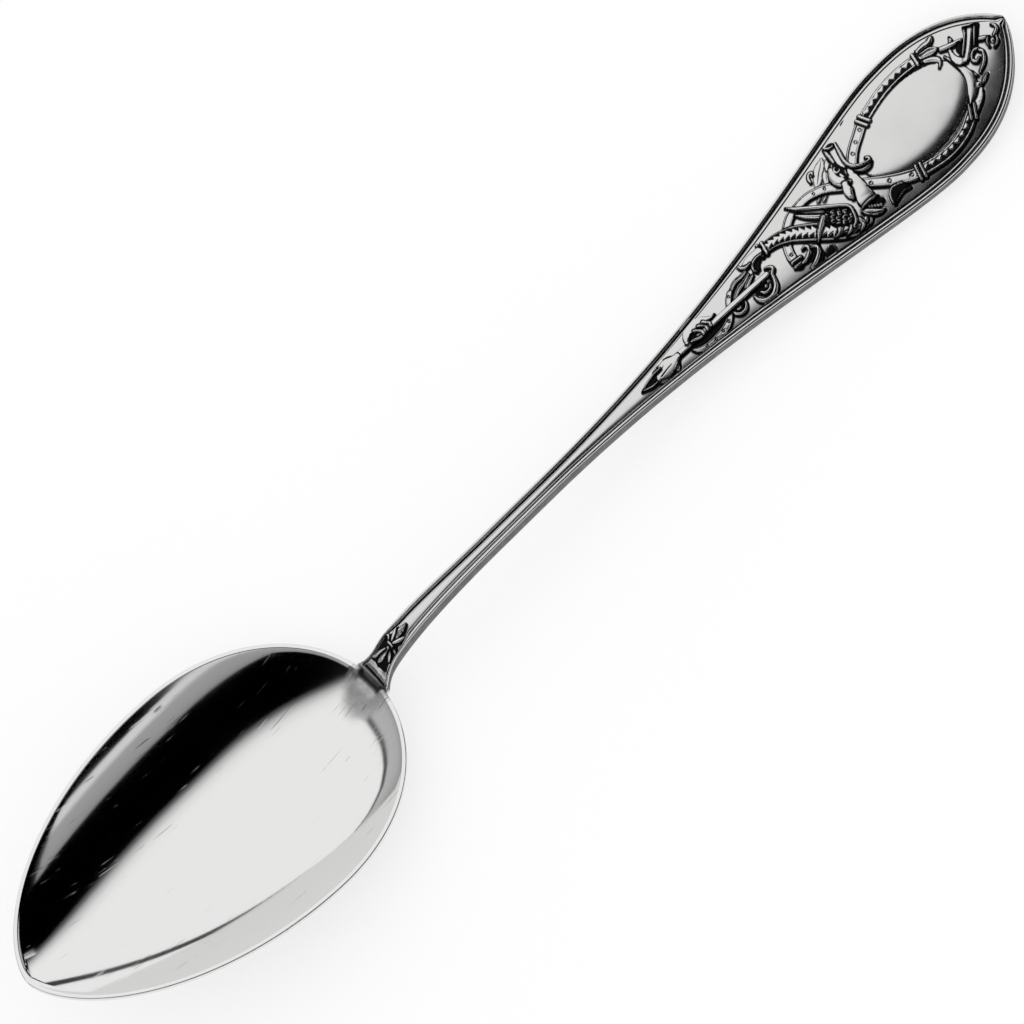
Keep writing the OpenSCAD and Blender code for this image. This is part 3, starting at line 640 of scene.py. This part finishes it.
def chaseStraps():
    h, w = relief["band"], relief["strap"]
    left = [(34.2, 1.4, w), (33.1, 2.7, w), (31.7, 3.9, w), (29.8, 5, w), (27.2, 6.3, w), (22.4, 7.35, w),
            (18.3, 7.4, w), (14.2, 6.7, w)]
    lay(h, left, toothed(1, 8.2, 20.6))
    right = [(10.6, -5, 0.9), (11.6, -5.6, 1.5), (13.8, -6.4, w), (17.1, -7.8, w), (21.3, -8.1, w),
             (26.2, -6.9, w), (28.6, -5.8, w), (31, -4.1, w * 0.9), (33.4, -2, w * 0.8), (34.4, -1, w * 0.6)]
    lay(h, right, toothed(-1, 3.7, 16, 0.24))
    for a, b in ((32.2, 3.4), (30.6, 4.5), (28.8, 5.5), (33.3, -2.4), (30.9, -4.3), (27.7, -6.3)):
        punch(a, b)
    cut([(29.4, 9.2, 0.3), (29.9, 9, 0.6), (30.5, 8.7, 0.25)])
    for a, b, turn in ((27.4, 6.2, 158), (14.3, 6.75, 190), (13.8, -6.4, 214), (26.3, -6.9, 16)):
        collar(a, b, turn, w, h + 0.12)
    # leaf finial of the left strap
    lay(h, [(13.5, 7.6, 0.6), (12.4, 7.5, 0.9), (11.3, 7.2, 1), (10.6, 7.5, 0.8), (10.5, 8.1, 0.4),
        (10.9, 8.5, 0.2)], bevelled)
    lay(h, [(13.6, 6.4, 1), (12.4, 6, 1.4), (11.6, 5.6, 1.2), (11, 5.3, 0.4)], hollow)
    lay(h, [(13.7, 5.4, 0.7), (12.8, 4.8, 0.9), (12.1, 3.9, 0.9), (12.2, 3.1, 0.5), (12.8, 2.7, 0.2)], bevelled)
    # pointed leaf over the right strap
    lay(h, [(9.9, -2, 1), (9.6, -2.6, 0.6), (9.3, -3, 0.15)], bevelled)
    lay(h, [(11, 3.4, 0.2, 0.8), (10.6, 1.2, 0.6, 0.9), (10.3, -0.6, 1), (10.4, -2.2, 1.5), (11, -3.5, 1.7),
        (12, -4.5, 1.4), (13.2, -5.3, 0.3)], satin)
    knob(10.2, -4.2, 0.5, h + 0.1, 0.5)
    lay(h, [(8, -4, 0.2), (8.9, -4.3, 0.5), (9.7, -4.6, 0.2)], bevelled)
    # hanging leaf under the right strap: black inside, bright along its edges
    lay(0.3, [(29.6, -6.9, 0.9), (30.8, -6.3, 1.3), (31.9, -6.5, 1.2), (32.7, -7.4, 0.5)], blackened)
    lay(h, [(29.7, -6, 0.3), (30.6, -5.6, 0.35), (31.5, -5.4, 0.4), (32.4, -6, 0.5), (32.8, -6.9, 0.4),
        (32.9, -7.6, 0.15)], chase=0.5)
    lay(h * 0.8, [(29.2, -7.4, 0.2), (30.6, -7.1, 0.25), (32.2, -7.4, 0.2)], chase=0.5)


def chaseTopKnot():
    h = relief["band"]
    # pin, with the folded strap over it
    lay(h * 0.8, [(8.4, 5.1, 0.2), (8.6, 4.5, 0.6), (9.2, 4, 0.4)], hollow)
    lay(h, [(10.6, 4.7, 0.75), (9.2, 3.9, 0.8, 1.2), (7.4, 3.1, 0.55, 1.2)])
    lay(h, [(5.6, 1.2, 0.5), (4.6, 0.4, 0.6), (3.8, -0.2, 0.3)])
    lay(h, [(9.8, 3.3, 0.5, 0.9), (10.1, 2, 0.9), (9.8, 0.8, 1.2), (9, 0.3, 1)], satin)
    lay(0.15, [(8, 2.9, 0.5), (8.5, 2.3, 1), (8.8, 1.6, 0.4)], blackened)
    lay(0.25, [(4.6, 3.2, 2.2), (5.4, 2.2, 1.7), (6.6, 0.9, 1.4)], blackened)
    lay(h, [(4.9, 3.5, 0.9), (6, 2.4, 0.95, 1.2), (7.5, 1.1, 0.95, 1.2), (8.8, 0.3, 1.1)], satin, shade=0.5)
    lay(h, [(5.7, 4.3, 0.3, 1.2), (6.4, 3.1, 0.4, 1.4), (8.1, 1.6, 0.4, 1.4), (8.8, 1.1, 0.3, 1.2)])
    lay(h, [(3.8, 3.4, 0.3, 1.2), (4.5, 2.7, 0.35, 1.4), (5.5, 1.6, 0.35, 1.4), (6.4, 0.7, 0.25, 1.2)])
    lay(h, [(5.7, 4.4, 0.2, 1.2), (5, 3.9, 0.35, 1.3), (4.4, 3.5, 0.35, 1.3), (3.8, 3.4, 0.2, 1.2)])
    # scrolls beside it
    lay(h, [(6.1, -0.8, 0.4), (6.4, -0.1, 0.45), (7, 0.2, 0.5), (7.8, -0.1, 0.5), (8.2, -0.8, 0.5),
        (7.8, -1.4, 0.45), (7.2, -1.3, 0.3)])
    lay(h, [(6.4, -0.4, 0.3), (6.1, -1, 0.5), (6.6, -1.9, 0.6), (7.4, -2.5, 0.55), (8.6, -3, 0.25)])
    # three-lobed end of the pin
    lay(h, [(2.2, 1, 0.2), (1.9, 0.3, 0.45), (2.1, -0.4, 0.55), (3, -0.7, 0.5)])
    lay(h, [(4.1, -0.2, 0.3), (4.6, -0.6, 0.4), (4.8, -1.3, 0.2)])
    lay(h, [(2.9, -1.1, 0.3), (3.3, -1.8, 0.45), (4.2, -2.1, 0.2)])
    knob(3.8, -1.1, 0.4, h + 0.05, 0.3)


def chaseLeaf():
    h = relief["body"] * 0.35
    lay(h, [(39.6, 4.2, 1.2), (38.4, 5.3, 2), (37.2, 6.2, 1.7), (36.4, 6.9, 0.4)], leafy, shade=0.6)
    lay(h, [(38.3, 3.3, 1), (37.6, 4.2, 1.3), (37, 5, 0.6)], leafy, shade=0.8)
    lay(h, [(36.8, 4.9, 0.6), (36.3, 5.5, 0.9), (36, 6.1, 0.3)], bevelled, shade=0.8)
    lay(h, [(40.2, 5.3, 0.3), (40.1, 6, 0.5), (39.6, 6.6, 0.5), (39, 6.5, 0.4), (39.2, 6, 0.2)])
    for a, b, c, d in ((41.4, 2, 39.9, 2.6), (40.6, 1.4, 39.4, 1.9)):
        lay(h, [(a, b, 0.5), (c, d, 0.2)], bevelled, shade=0.7)


def chaseTail():
    h = relief["body"]
    ring = [(36.6, 0.4), (37.4, 1.1), (38.9, 2.4), (40.5, 3.3), (42.7, 3.95), (45.8, 3.75), (47.6, 2.9),
            (49, 1.6), (50, 0.1), (50.6, -1.6), (50.5, -3.2)]
    lay(h * 0.6, [(a, b, 1.45) for a, b in ring], strap)
    for a, b in ((37.6, 1.3), (39.3, 2.7), (41.1, 3.5), (49.8, 0.4), (50.4, -1.3)):
        punch(a, b, 0.2, 0.15)
    collar(50.4, -2.9, 98, 1.4, h * 0.75)


def chaseBody():
    h = relief["body"]
    lay(h, [(37.4, -5.9, 1.2), (39.2, -6, 2.2), (41.4, -4.7, 2.8), (43.5, -2.9, 2.9), (45.6, -0.9, 2.9),
        (48.1, 1.2, 2.6), (50.5, 2.4, 2.2), (52.8, 2.9, 1.9)], spined)
    collar(53.2, 3, 12, 1.9, h + 0.05)
    # spikes of the mane
    for path in (((36.7, -5.4), (37.1, -6.4), (38.1, -7.1)), ((38.6, -5.1), (38.6, -6.2), (40, -6.8)),
                 ((40.2, -5), (40.7, -5.4), (41.8, -5.6)), ((41.8, -4), (42.3, -4.4), (43.5, -4.5))):
        lay(h, [(a, b, w) for (a, b), w in zip(path, (0.9, 0.6, 0.12))], bevelled)


def chaseWing():
    h = relief["body"]
    lay(h, [(39.2, -4.3, 1.4), (39.9, -3.3, 2.5), (41, -2.1, 2.5), (42, -1.1, 1.6)], scaled)
    lay(h, [(41.9, 0.1, 0.6), (43, 1.2, 0.8), (44.2, 2.5, 0.7), (45.6, 4.4, 0.15, 0.7)], bevelled)
    lay(h, [(42.1, -0.8, 0.7), (43.2, 0.2, 0.8), (44.6, 1.7, 0.7), (45.7, 3.2, 0.15, 0.7)], bevelled)
    lay(h, [(46, 5.4, 0.15, 0.6), (44.9, 3.9, 0.5), (43.7, 2.7, 0.65), (42.4, 1.5, 0.65), (41.1, 0.3, 0.6),
        (39.3, -1.3, 0.55, 1.1), (38.4, -2.4, 0.5, 1.1), (38.5, -3.7, 0.5, 1.1), (39.1, -4.9, 0.55),
        (39.9, -5.4, 0.5)])
    # leg
    lay(h, [(42.7, -0.7, 0.9, 1.1), (43.6, -1.3, 1, 1.1), (44.8, -2.1, 0.7, 1.1), (46.1, -3.2, 0.12)], bevelled)


def chaseClaws():
    h = relief["body"]
    lay(0.1, [(48.2, -5.6, 0.8), (47.6, -4.4, 2.6), (46.9, -3.4, 1.6)], blackened, chase=0)
    lay(h, [(50, -3.6, 0.3, 0.8), (49, -3.6, 0.7, 0.9), (48, -3.1, 0.75), (47.6, -2.4, 0.6),
        (47.8, -1.9, 0.45, 0.9), (48.5, -1.9, 0.2, 0.8)])
    lay(h, [(49.4, -5.1, 0.3, 0.8), (48.2, -4.9, 0.7, 0.9), (47, -4.3, 0.75), (46.5, -3.5, 0.55),
        (46.8, -2.9, 0.4, 0.9), (47.3, -2.8, 0.2, 0.8)])
    cut([(49.2, -3.9, 0.2), (48.2, -3.5, 0.2), (47.9, -2.7, 0.15)])
    cut([(48.3, -5.3, 0.2), (47.2, -4.8, 0.2), (46.7, -4, 0.15)])
    lay(h * 0.6, [(45.8, -5.6, 1.2), (45.3, -5.4, 1.3), (44.9, -5.2, 1)], blackened)
    lay(h * 0.7, [(45.2, -6.2, 0.15), (44.6, -5.7, 0.25), (44.5, -5, 0.25),
        (44.9, -4.6, 0.15)], chase=0, shade=0.3)


def chaseHead():
    h = relief["head"]
    # open mouth, black inside, with its lip, teeth and jaw
    lay(0.1, [(36.5, -4.2, 0.3), (35.6, -4.8, 0.9), (34.6, -5.2, 1.5), (33.9, -5.5, 0.7)], blackened)
    lay(h, [(37.4, -4.5, 0.45, 0.8), (36.9, -5.2, 0.9, 0.85), (36.1, -6.1, 1, 0.8), (35.2, -6.7, 0.6, 0.75),
        (34.5, -6.9, 0.15, 0.6)], satin)
    # brow and snout
    lay(h, [(34.7, 2.2, 1.3, 0.8), (34.8, 1.2, 1.6, 0.9), (34.9, 0, 1.8), (35, -1.4, 2.1), (35.3, -2.5, 2.6),
        (35.5, -3.3, 3, 0.95)], satin)
    for k in range(5):
        knob(36.1 - 0.4 * k, -4.95 - 0.28 * k, 0.2, h * 1.1)
    lay(h, [(37, -4.3, 0.3), (36.2, -4.25, 0.4), (35, -4.35, 0.4), (33.9, -4.5, 0.2)], chase=0.5)
    # cheek of two lobes
    lay(h, [(36.6, 4, 1.2, 0.8), (36.8, 2.9, 2.1, 0.9), (36.6, 1.7, 2.1), (36.1, 0.7, 1.4),
        (35.6, 0.3, 0.6, 0.95)])
    lay(h, [(36.5, 0.5, 1), (36.8, -0.4, 1.5, 1.05), (37, -1.2, 1.3, 1.05), (37, -1.9, 0.6)], satin, shade=0.8)
    cut([(35.7, 0.4, 0.4), (36, -0.2, 0.4)], 0.2)
    # eye: black socket, bright ring and brow
    lay(h * 0.8, [(35.7, 3.8, 0.9), (35.6, 2.8, 1.3), (35.5, 1.9, 1), (35.6, 1.2, 0.3)], blackened, chase=0)
    bead(35.8, 3.3, 0.5, h)
    lay(h, [(36, 2.6, 0.15), (35.9, 1.9, 0.45), (35.7, 1.4, 0.15)], satin, chase=0, shade=0)
    lay(h, [(35.6, 4.6, 0.3), (35.1, 3.6, 0.4, 1.15), (34.9, 2.5, 0.4, 1.15), (35.2, 1.5, 0.25, 1.05)], chase=0.5)
    # horn: a folded strap, notched at the top, that curls over the tip of the oval's strap
    lay(h, [(34.2, 6.9, 1.9, 0.35), (34.4, 5.6, 1.7, 0.45), (34.7, 4.3, 1.1, 0.6)], blackened)
    lay(h, [(34.1, 6.4, 1.2, 0.7), (34.3, 5.4, 1.25, 0.8), (34.6, 4, 1.1, 0.9),
        (34.5, 2.8, 0.7, 0.95)], satin, chase=0.5)
    lay(h, [(35.1, 7.9, 0.3, 0.8), (35.2, 6.8, 0.6, 0.85), (35.3, 5.6, 0.55, 0.9), (35.4, 4.5, 0.3, 0.95)])
    lay(h * 0.8, [(35.1, 7.9, 0.25), (34.5, 7.2, 0.4), (33.8, 6.9, 0.3), (33.3, 7.2, 0.2)])
    lay(h, [(33.8, 1, 0.3, 0.8), (32.8, 0.2, 0.6, 0.8), (31.7, -0.1, 0.6, 0.8), (30.9, 0.2, 0.3, 0.7)])
    lay(h, [(33.1, 7.1, 0.3, 0.9), (33.6, 5.2, 0.55), (34, 3.3, 0.55, 1.1), (33.7, 2, 0.55, 1.15),
        (32.9, 1.2, 0.55, 1.1), (31.9, 0.7, 0.5), (31, 0.5, 0.4, 0.9), (30.8, 0.9, 0.4, 0.8),
        (31.2, 1.4, 0.25, 0.7)])


def chaseStaff():
    h = relief["body"]
    # curls of the tail and the ribbons from it to the staff
    lay(h, [(53.9, 3.2, 1.3, 0.8), (55.1, 3.2, 1.5, 0.8), (56.2, 3.3, 1.3, 0.8), (57, 3.4, 0.5, 0.7)], satin)
    lay(0.1, [(54.6, 2.2, 0.5), (55.3, 1.9, 0.9), (55.8, 1.1, 0.6)], blackened)
    lay(h, [(53.9, 2.5, 0.35, 0.9), (55, 2.6, 0.4, 0.9), (56, 2.2, 0.45, 0.9), (56.4, 1.4, 0.4, 0.9),
        (56.2, 0.8, 0.2, 0.8)], chase=0.5)
    lay(h, [(57.9, 4, 0.25, 0.9), (57.7, 3.3, 0.45, 0.9), (57, 2.7, 0.5, 0.9), (56.1, 2.7, 0.3, 0.8)])
    for path in (((57.6, 2.3), (58.6, 2.2), (60.2, 2.2), (62.6, 0.9)),
                 ((57.6, 1.6), (58.9, 1.1), (60.3, 0.9), (62.4, -0.2)),
                 ((57.2, 1), (58.2, 0.6), (58.9, 0.3), (59.6, -0.2))):
        lay(h * 0.6, [(a, b, w) for (a, b), w in zip(path, (0.5, 0.75, 0.75, 0.4))], hollow)
    # small lobe beside the staff
    lay(0.1, [(61.6, -1.1, 1.2), (62.3, -1.5, 1.3)], blackened)
    lay(h * 0.6, [(63.3, -0.9, 0.3), (63.2, -1.7, 0.45), (62.5, -2.3, 0.5), (61.6, -2.3, 0.5), (60.9, -1.7, 0.4),
        (60.8, -1, 0.3)])
    bead(62.2, -1.3, 0.3, h * 0.4)
    # strap that passes under the staff, on black ground
    lay(0.05, [(65.6, -1.3, 0.5), (67.6, -1.6, 1.1), (69.6, -1.5, 1.1), (71.2, -0.9, 0.5)], blackened)
    lay(h, [(61.7, 1.6, 0.8, 0.5), (62.6, 0.8, 0.9, 0.5), (63.5, -0.4, 0.9, 0.5), (64.3, -1.4, 1, 0.5),
        (65.6, -2.1, 1.15, 0.5), (67.3, -2.4, 1.2, 0.5), (69.4, -2.4, 1.15, 0.5), (71.4, -1.7, 0.8, 0.5),
        (72.1, -0.9, 0.3, 0.4)], strap)
    for a, b in ((62.2, 1.2), (64.9, -1.8), (66.5, -2.3), (68.2, -2.45), (70, -2.3)):
        punch(a, b, 0.18, 0.14)
    # scroll at the top of the staff, black inside with small curls
    lay(0.1, [(54.9, -1.2, 1), (56.2, -2, 2.2), (57.4, -2, 1.6), (58.3, -1.6, 0.6)], blackened)
    lay(h, [(54.9, 0.3, 0.3, 0.8), (54.2, -0.1, 0.45, 0.8), (54, -0.7, 0.5, 0.9), (54.7, -1.3, 0.55),
        (55, -2.2, 0.65), (55.6, -3.2, 0.85), (56.9, -3.9, 0.9), (58.2, -3.7, 0.8), (59, -2.8, 0.6, 0.9),
        (59.2, -1.9, 0.3, 0.8)])
    lay(h * 0.9, [(56, -0.9, 0.3), (56.4, -1.3, 0.45), (57.1, -1.4, 0.4), (57.3, -0.9, 0.25)])
    lay(h * 0.9, [(56, -2.3, 0.3), (56.6, -2.8, 0.5), (57.5, -2.7, 0.5), (57.9, -2.1, 0.3)])
    knob(55.9, -1.7, 0.32, h * 0.9, 0.2)
    knob(56.7, -2, 0.3, h * 0.9, 0.2)
    w = relief["staff"]
    lay(h, [(55.4, -0.75, w), (62.8, -0.4, w), (69, -0.15, w), (74.9, 0.1, w)], flat)
    # fist on the staff: palm, black hollow in it and the bent fingers
    lay(h, [(72.1, 0.5, 0.6), (71.6, 1.2, 1.2, 1.2), (70.6, 1.8, 1.6, 1.3), (69.3, 1.9, 1.7, 1.3),
        (68.1, 1.5, 1.4, 1.3), (67.2, 1, 0.9, 1.2), (66.4, 0.7, 0.4), (65.8, 0.9, 0.15, 0.9)], satin)
    lay(0.3, [(71.2, 0.5, 0.3), (70.7, 0.6, 0.75), (70.1, 0.7, 0.3)], blackened, chase=0)
    lay(h * 1.2, [(71.4, 0, 0.35), (70.7, -0.2, 0.45), (70, -0.5, 0.5), (69.3, -0.6, 0.5)])
    for path in (((70, 1), (69.5, 0.6), (69.1, 0.1), (69.1, -0.5)),
                 ((69, 1.1), (68.5, 0.7), (68.1, 0.2), (68.2, -0.4)),
                 ((68, 1.1), (67.7, 0.6), (67.3, 0.2), (67.4, -0.3))):
        lay(h * 1.4, [(a, b, 0.45) for a, b in path], shade=0.8)
    # lobed leaf at the foot, with a black slit down its point
    lay(h, [(75.1, 0.4, 0.35), (75.9, 0.9, 0.55), (76.6, 1.3, 0.2, 0.9)], satin)
    lay(h, [(75.2, -0.7, 0.5), (75.9, -1.5, 0.8), (76.1, -2, 0.2, 0.9)], satin)
    lay(h, [(77.2, 0.5, 0.5, 0.9), (78.2, 1, 0.55, 0.9), (79.1, 0.9, 0.4, 0.8)])
    lay(h, [(76.6, -1.1, 0.6, 0.6), (77.7, -1.4, 1.1, 0.6), (78.9, -1.2, 0.8, 0.5),
        (79.9, -0.8, 0.15, 0.4)], satin)
    lay(0.15, [(79, 0.1, 0.4), (79.9, 0, 0.9), (81, -0.1, 0.8), (82.1, -0.2, 0.3)], blackened)
    lay(h, [(74.7, 0, 1, 0.9), (75.6, -0.1, 1.7, 0.8), (76.6, -0.1, 2.6, 0.7), (77.8, -0.2, 2.6, 0.6),
        (78.8, -0.4, 1.4, 0.5), (79.5, -0.7, 0.4, 0.4)], satin)
    cut([(76.2, -0.3, 0.12), (77.4, -0.4, 0.2), (78.6, -0.6, 0.25)], 0.1)
    cut([(77.3, 0.5, 0.12), (78, 0.2, 0.2), (78.8, 0.1, 0.25)], 0.1)
    lay(h, [(78, 0.6, 0.3, 0.9), (79.5, 0.6, 0.35, 0.8), (81, 0.3, 0.35, 0.7), (82.5, -0.1, 0.2, 0.6)], chase=0.5)
    lay(h, [(79.6, -0.8, 0.2, 0.8), (80.8, -0.7, 0.3, 0.7), (82.3, -0.2, 0.2, 0.6)], chase=0.5)


def chaseNeck():
    h = relief["band"]
    # black ground, the bright strip below it and the line at the bowl
    lay(0.05, [(137.3, 0, 1), (138.6, 0.2, 2.6), (139.8, 0, 3.4), (140.8, 0, 3.6)], blackened)
    lay(0.2, [(143.2, -3, 0.9), (143.1, 0, 0.9), (143.2, 3, 0.9)], satin, shade=0.5)
    lay(0, [(144.1, -3, 0.45), (144, 0, 0.45), (144.1, 3, 0.45)], blackened, shade=0.5)
    # tall leaf with a wing to each side
    lay(h, [(138.7, 0, 0.5), (137.4, 0.1, 0.9), (136, 0.1, 1), (135, 0.2, 0.3, 0.8)], leafy)
    lay(h, [(138.3, 0.2, 0.4), (137.2, 0.7, 0.55), (136.3, 1.1, 0.2, 0.8)], satin)
    lay(h, [(138.4, -0.3, 0.4), (137.4, -0.8, 0.6), (136.2, -1.2, 0.2, 0.8)], satin)
    # curl to the left of the knot, small leaves to the right
    lay(h, [(139, 0.4, 0.3), (138.4, 0.9, 0.4), (138.2, 1.4, 0.4), (138.7, 1.7, 0.35), (139.1, 1.4, 0.2)])
    lay(h, [(139.2, -0.4, 0.3), (139.1, -1.1, 0.5), (139.5, -1.8, 0.2)], satin)
    lay(h, [(139.4, -0.3, 0.3), (140.2, -0.9, 0.6), (141.1, -1.4, 0.3)], satin)
    lay(h * 0.8, [(141.3, -1.9, 0.9), (142, -1.9, 0.6), (142.5, -2.1, 0.2)], satin)
    # pointed leaf below, an arc beside it, and the knot over them
    lay(h, [(139.2, 0, 0.4), (140.4, 0.1, 0.8), (141.6, 0.2, 0.9), (142.4, 0.3, 0.2)], leafy)
    lay(h, [(140, 0.4, 0.3), (141, 0.9, 0.45), (142, 1.3, 0.5), (142.3, 2, 0.3)], satin)
    lay(h * 1.2, [(138.9, -0.5, 0.4), (138.9, 0.5, 0.4)])


for chase in (chaseShield, chaseStraps, chaseTopKnot, chaseLeaf, chaseTail, chaseBody, chaseWing, chaseClaws,
              chaseHead, chaseStaff, chaseNeck):
    chase()
print("relief chased")

edgeRow = np.minimum(np.arange(len(side)), np.arange(len(side))[::-1])[:, None]
raised *= ease((edgeRow - edgeCount + 2) / 4)
# at the bowl the face rounds down into it, with painted shade there
roundDown = relief["startDrop"] * ease(-along / relief["startRun"])
faceZ = topZ(faceX) + edgeZ[np.minimum(edgeRow, edgeCount - 1)] + crownAt(along, side) + raised - roundDown
# painted shade where the face rounds down into the bowl
dark = np.maximum(dark, relief["startShade"] * ease((0.5 - along) / 0.6))
dark = np.where(edgeRow < edgeCount, np.append(edgeTone, 0)[np.minimum(edgeRow, edgeCount)], dark)
core = [np.stack([faceX, v * side[-1], topZ(faceX) - relief["coreDrop"]], -1) for v in (0.6, -0.6)]
faceSheet = np.stack([along, side, faceZ], -1)
faceSheet = capped(np.concatenate([faceSheet, core, faceSheet[:1]])) + middle
faceOxideAndShade = np.concatenate([dark, np.ones((2, len(faceX))), dark[:1]])
skinSheet("face", faceSheet, handleSilver, np.pad(faceOxideAndShade, ((0, 0), (1, 1)), mode="edge"))


# camera: the photograph's view, from above and a little to the spoon's right
shot = dict(lean=22.3, swing=-1.8, turn=46.3, distance=1.52, aimHeight=0.008, sensor=36,
            imageSize=1024, perMm=6.344, centreX=526.7, centreY=505.9)

lean, swing, turn = (math.radians(shot[key]) for key in ("lean", "swing", "turn"))
toCamera = Vector((math.sin(swing), -math.sin(lean) * math.cos(swing), math.cos(lean) * math.cos(swing)))
spoonWay = (Vector((1, 0, 0)) - toCamera * toCamera.x).normalized()
acrossWay = toCamera.cross(spoonWay)
right = math.cos(turn) * spoonWay - math.sin(turn) * acrossWay
up = math.sin(turn) * spoonWay + math.cos(turn) * acrossWay
offX, offY = (shot["imageSize"] / 2 - shot[key] for key in ("centreX", "centreY"))
aim = Vector((0, 0, shot["aimHeight"])) + right * offX / shot["perMm"] * mm - up * offY / shot["perMm"] * mm
lens = bpy.data.cameras.new("camera")
lens.sensor_width = shot["sensor"]
lens.lens = shot["sensor"] * shot["distance"] / (shot["imageSize"] / shot["perMm"] * mm)
lens.clip_start, lens.clip_end = 0.05, 20
camera = bpy.data.objects.new("camera", lens)
bpy.context.collection.objects.link(camera)
facing = Matrix((right, up, toCamera)).transposed().to_4x4()
camera.matrix_world = Matrix.Translation(aim + toCamera * shot["distance"]) @ facing
bpy.context.scene.camera = camera
print("camera set")


# stage: pale floor, soft light all round, and cards that give the silver its dark and grey bands
stage = dict(floorTone=1.0, floorGlow=0.55, floorHalf=3, floorZ=-0.0002, skyLight=1.0,
             domeRadius=0.6, neckRadius=0.63, domeX=-0.065, columns=40, cardTop=0.06, cardBack=-0.2,
             ringRadius=1.2, ringLow=0.08, ringHeight=0.15, ringTall=0.36, ringTone=0.03)


def stageMaterial(name, build):
    material = bpy.data.materials.new(name)
    material.use_nodes = True
    tree = material.node_tree
    tree.nodes.clear()
    addNode(tree, "OutputMaterial", {"Surface": build(tree)})
    return material


# white to the camera and in mirrors, and the spoon's shadow on it
def paleFloor(tree):
    rays = addNode(tree, "LightPath")
    seen = mathNode(tree, "MAXIMUM", rays["Is Camera Ray"], rays["Is Glossy Ray"])
    share = mathNode(tree, "MULTIPLY", seen, stage["floorGlow"])
    diffuse = addNode(tree, "BsdfDiffuse", {"Color": (stage["floorTone"],) * 3 + (1,)})[0]
    return addNode(tree, "MixShader", {0: share, 1: diffuse, 2: addNode(tree, "Emission")[0]})[0]


def tonedCard(tree):
    tone = addNode(tree, "Attribute", attribute_name="tone")["Fac"]
    return addNode(tree, "Emission", {"Strength": tone})[0]


floorMaterial = stageMaterial("paleFloor", paleFloor)
cardMaterial = stageMaterial("tonedCard", tonedCard)
floorPoints = [[(x, y, stage["floorZ"]) for x in (-stage["floorHalf"], stage["floorHalf"])]
               for y in (-stage["floorHalf"], stage["floorHalf"])]
floor = laidGrid("floor", np.array(floorPoints), floorMaterial, {}, closed=False)


# card that only mirrors see, each row as bright as its tone says: 0 black, 1 as the sky
def mirrorCard(name, points, tones):
    points = np.array(points)
    card = laidGrid(name, points, cardMaterial, {"tone": np.repeat(tones, points.shape[1])}, closed=False)
    card.visible_camera = card.visible_diffuse = card.visible_shadow = False


# points of a dome, from their angles off the vertical
def onDome(towardHandle, across, radius):
    off, way = np.radians(np.hypot(towardHandle, across)), np.arctan2(across, towardHandle)
    place = np.stack([np.sin(off) * np.cos(way), np.sin(off) * np.sin(way), np.cos(off)], -1)
    return place * radius + [stage["domeX"], 0, 0]


# one row of the sky that the bowl mirrors, through its reach and depth, or level at a height
def skyArc(reach, depth, level):
    turn = np.linspace(math.pi, 2 * math.pi, stage["columns"] + 1)
    towardHandle = 19 + reach * np.cos(turn)
    if level is None:
        across = 10 + depth * np.sin(turn)
    else:
        across = level + 25 * (np.abs(towardHandle - 20) / 55) ** 2.6
    # past its end towards the neck the sheet goes on level
    towardHandle = np.concatenate([[towardHandle[0] - 22], towardHandle])
    return onDome(towardHandle, np.concatenate([across[:1], across]), stage["domeRadius"])


# reach, depth, level, tone
skyRows = [(60, 0, 0, 1.0), (60, 0, -4, 0.97), (60, 0, -8, 0.86), (60, 0, -12, 0.5), (60, 0, -14.5, 0.14),
           (60, 0, -17, 0.0), (62, 57.5, None, 0.0), (62, 58.5, None, 0.3), (63, 61, None, 0.36),
           (65, 66, None, 0.4), (66, 67.5, None, 0.75), (66, 70, None, 0.75), (67, 70.6, None, 0.0),
           (69, 80, None, 0.0), (70, 81, None, 1.0)]
mirrorCard("bowlSky", [skyArc(*row[:3]) for row in skyRows], [row[3] for row in skyRows])

# what the bowl mirrors at the neck: a dark line down from the horizon, with grey beyond it (aside, tone)
neckLine = np.array([(16, 85), (3, 83.5), (-7, 80), (-15, 74), (-21, 66), (-26, 55), (-29, 42), (-31, 28),
                     (-33, 14), (-34, 4)])
neckRows = [(0, 1.0), (0.8, 0.05), (1.8, 0.05), (2.8, 0.55), (12, 0.42), (34, 0.2)]
mirrorCard("neckSky", [onDome(neckLine[:, 0] - aside, neckLine[:, 1], stage["neckRadius"])
                       for aside, tone in neckRows], [row[1] for row in neckRows])

# low card over the handle's end: its front edge at places along the spoon, with soft tones across it
cardEdge = [(0.015, 4), (0.07, 1), (0.083, 2.5), (0.09, 6), (0.098, 13), (0.11, 16), (0.16, 16)]
cardRows = [(stage["cardBack"], 0.0), (-0.004, 0.0), (0.0, 0.35), (0.004, 1.0)]
mirrorCard("handleCard", [[(x, y if y < -0.1 else edge * mm + y, stage["cardTop"]) for x, edge in cardEdge]
                          for y, tone in cardRows], [row[1] for row in cardRows])

# dark ring along the horizon, taller towards the spoon's right
turn = np.linspace(0, 2 * math.pi, 73)
rightward = ease((1 - np.sin(turn)) / 2)
ringLevels = (mix(stage["ringLow"], 0, rightward), mix(stage["ringHeight"], stage["ringTall"], rightward ** 3))
mirrorCard("horizon", [np.stack([stage["ringRadius"] * np.cos(turn), stage["ringRadius"] * np.sin(turn), z], -1)
                       for z in ringLevels], [stage["ringTone"]] * 2)

world = bpy.data.worlds.new("softSky")
bpy.context.scene.world = world
world.use_nodes = True
sky = world.node_tree.nodes["Background"].inputs
sky["Color"].default_value = (1, 1, 1, 1)
sky["Strength"].default_value = stage["skyLight"]
print("stage set")

bpy.context.scene.view_settings.view_transform = "Standard"
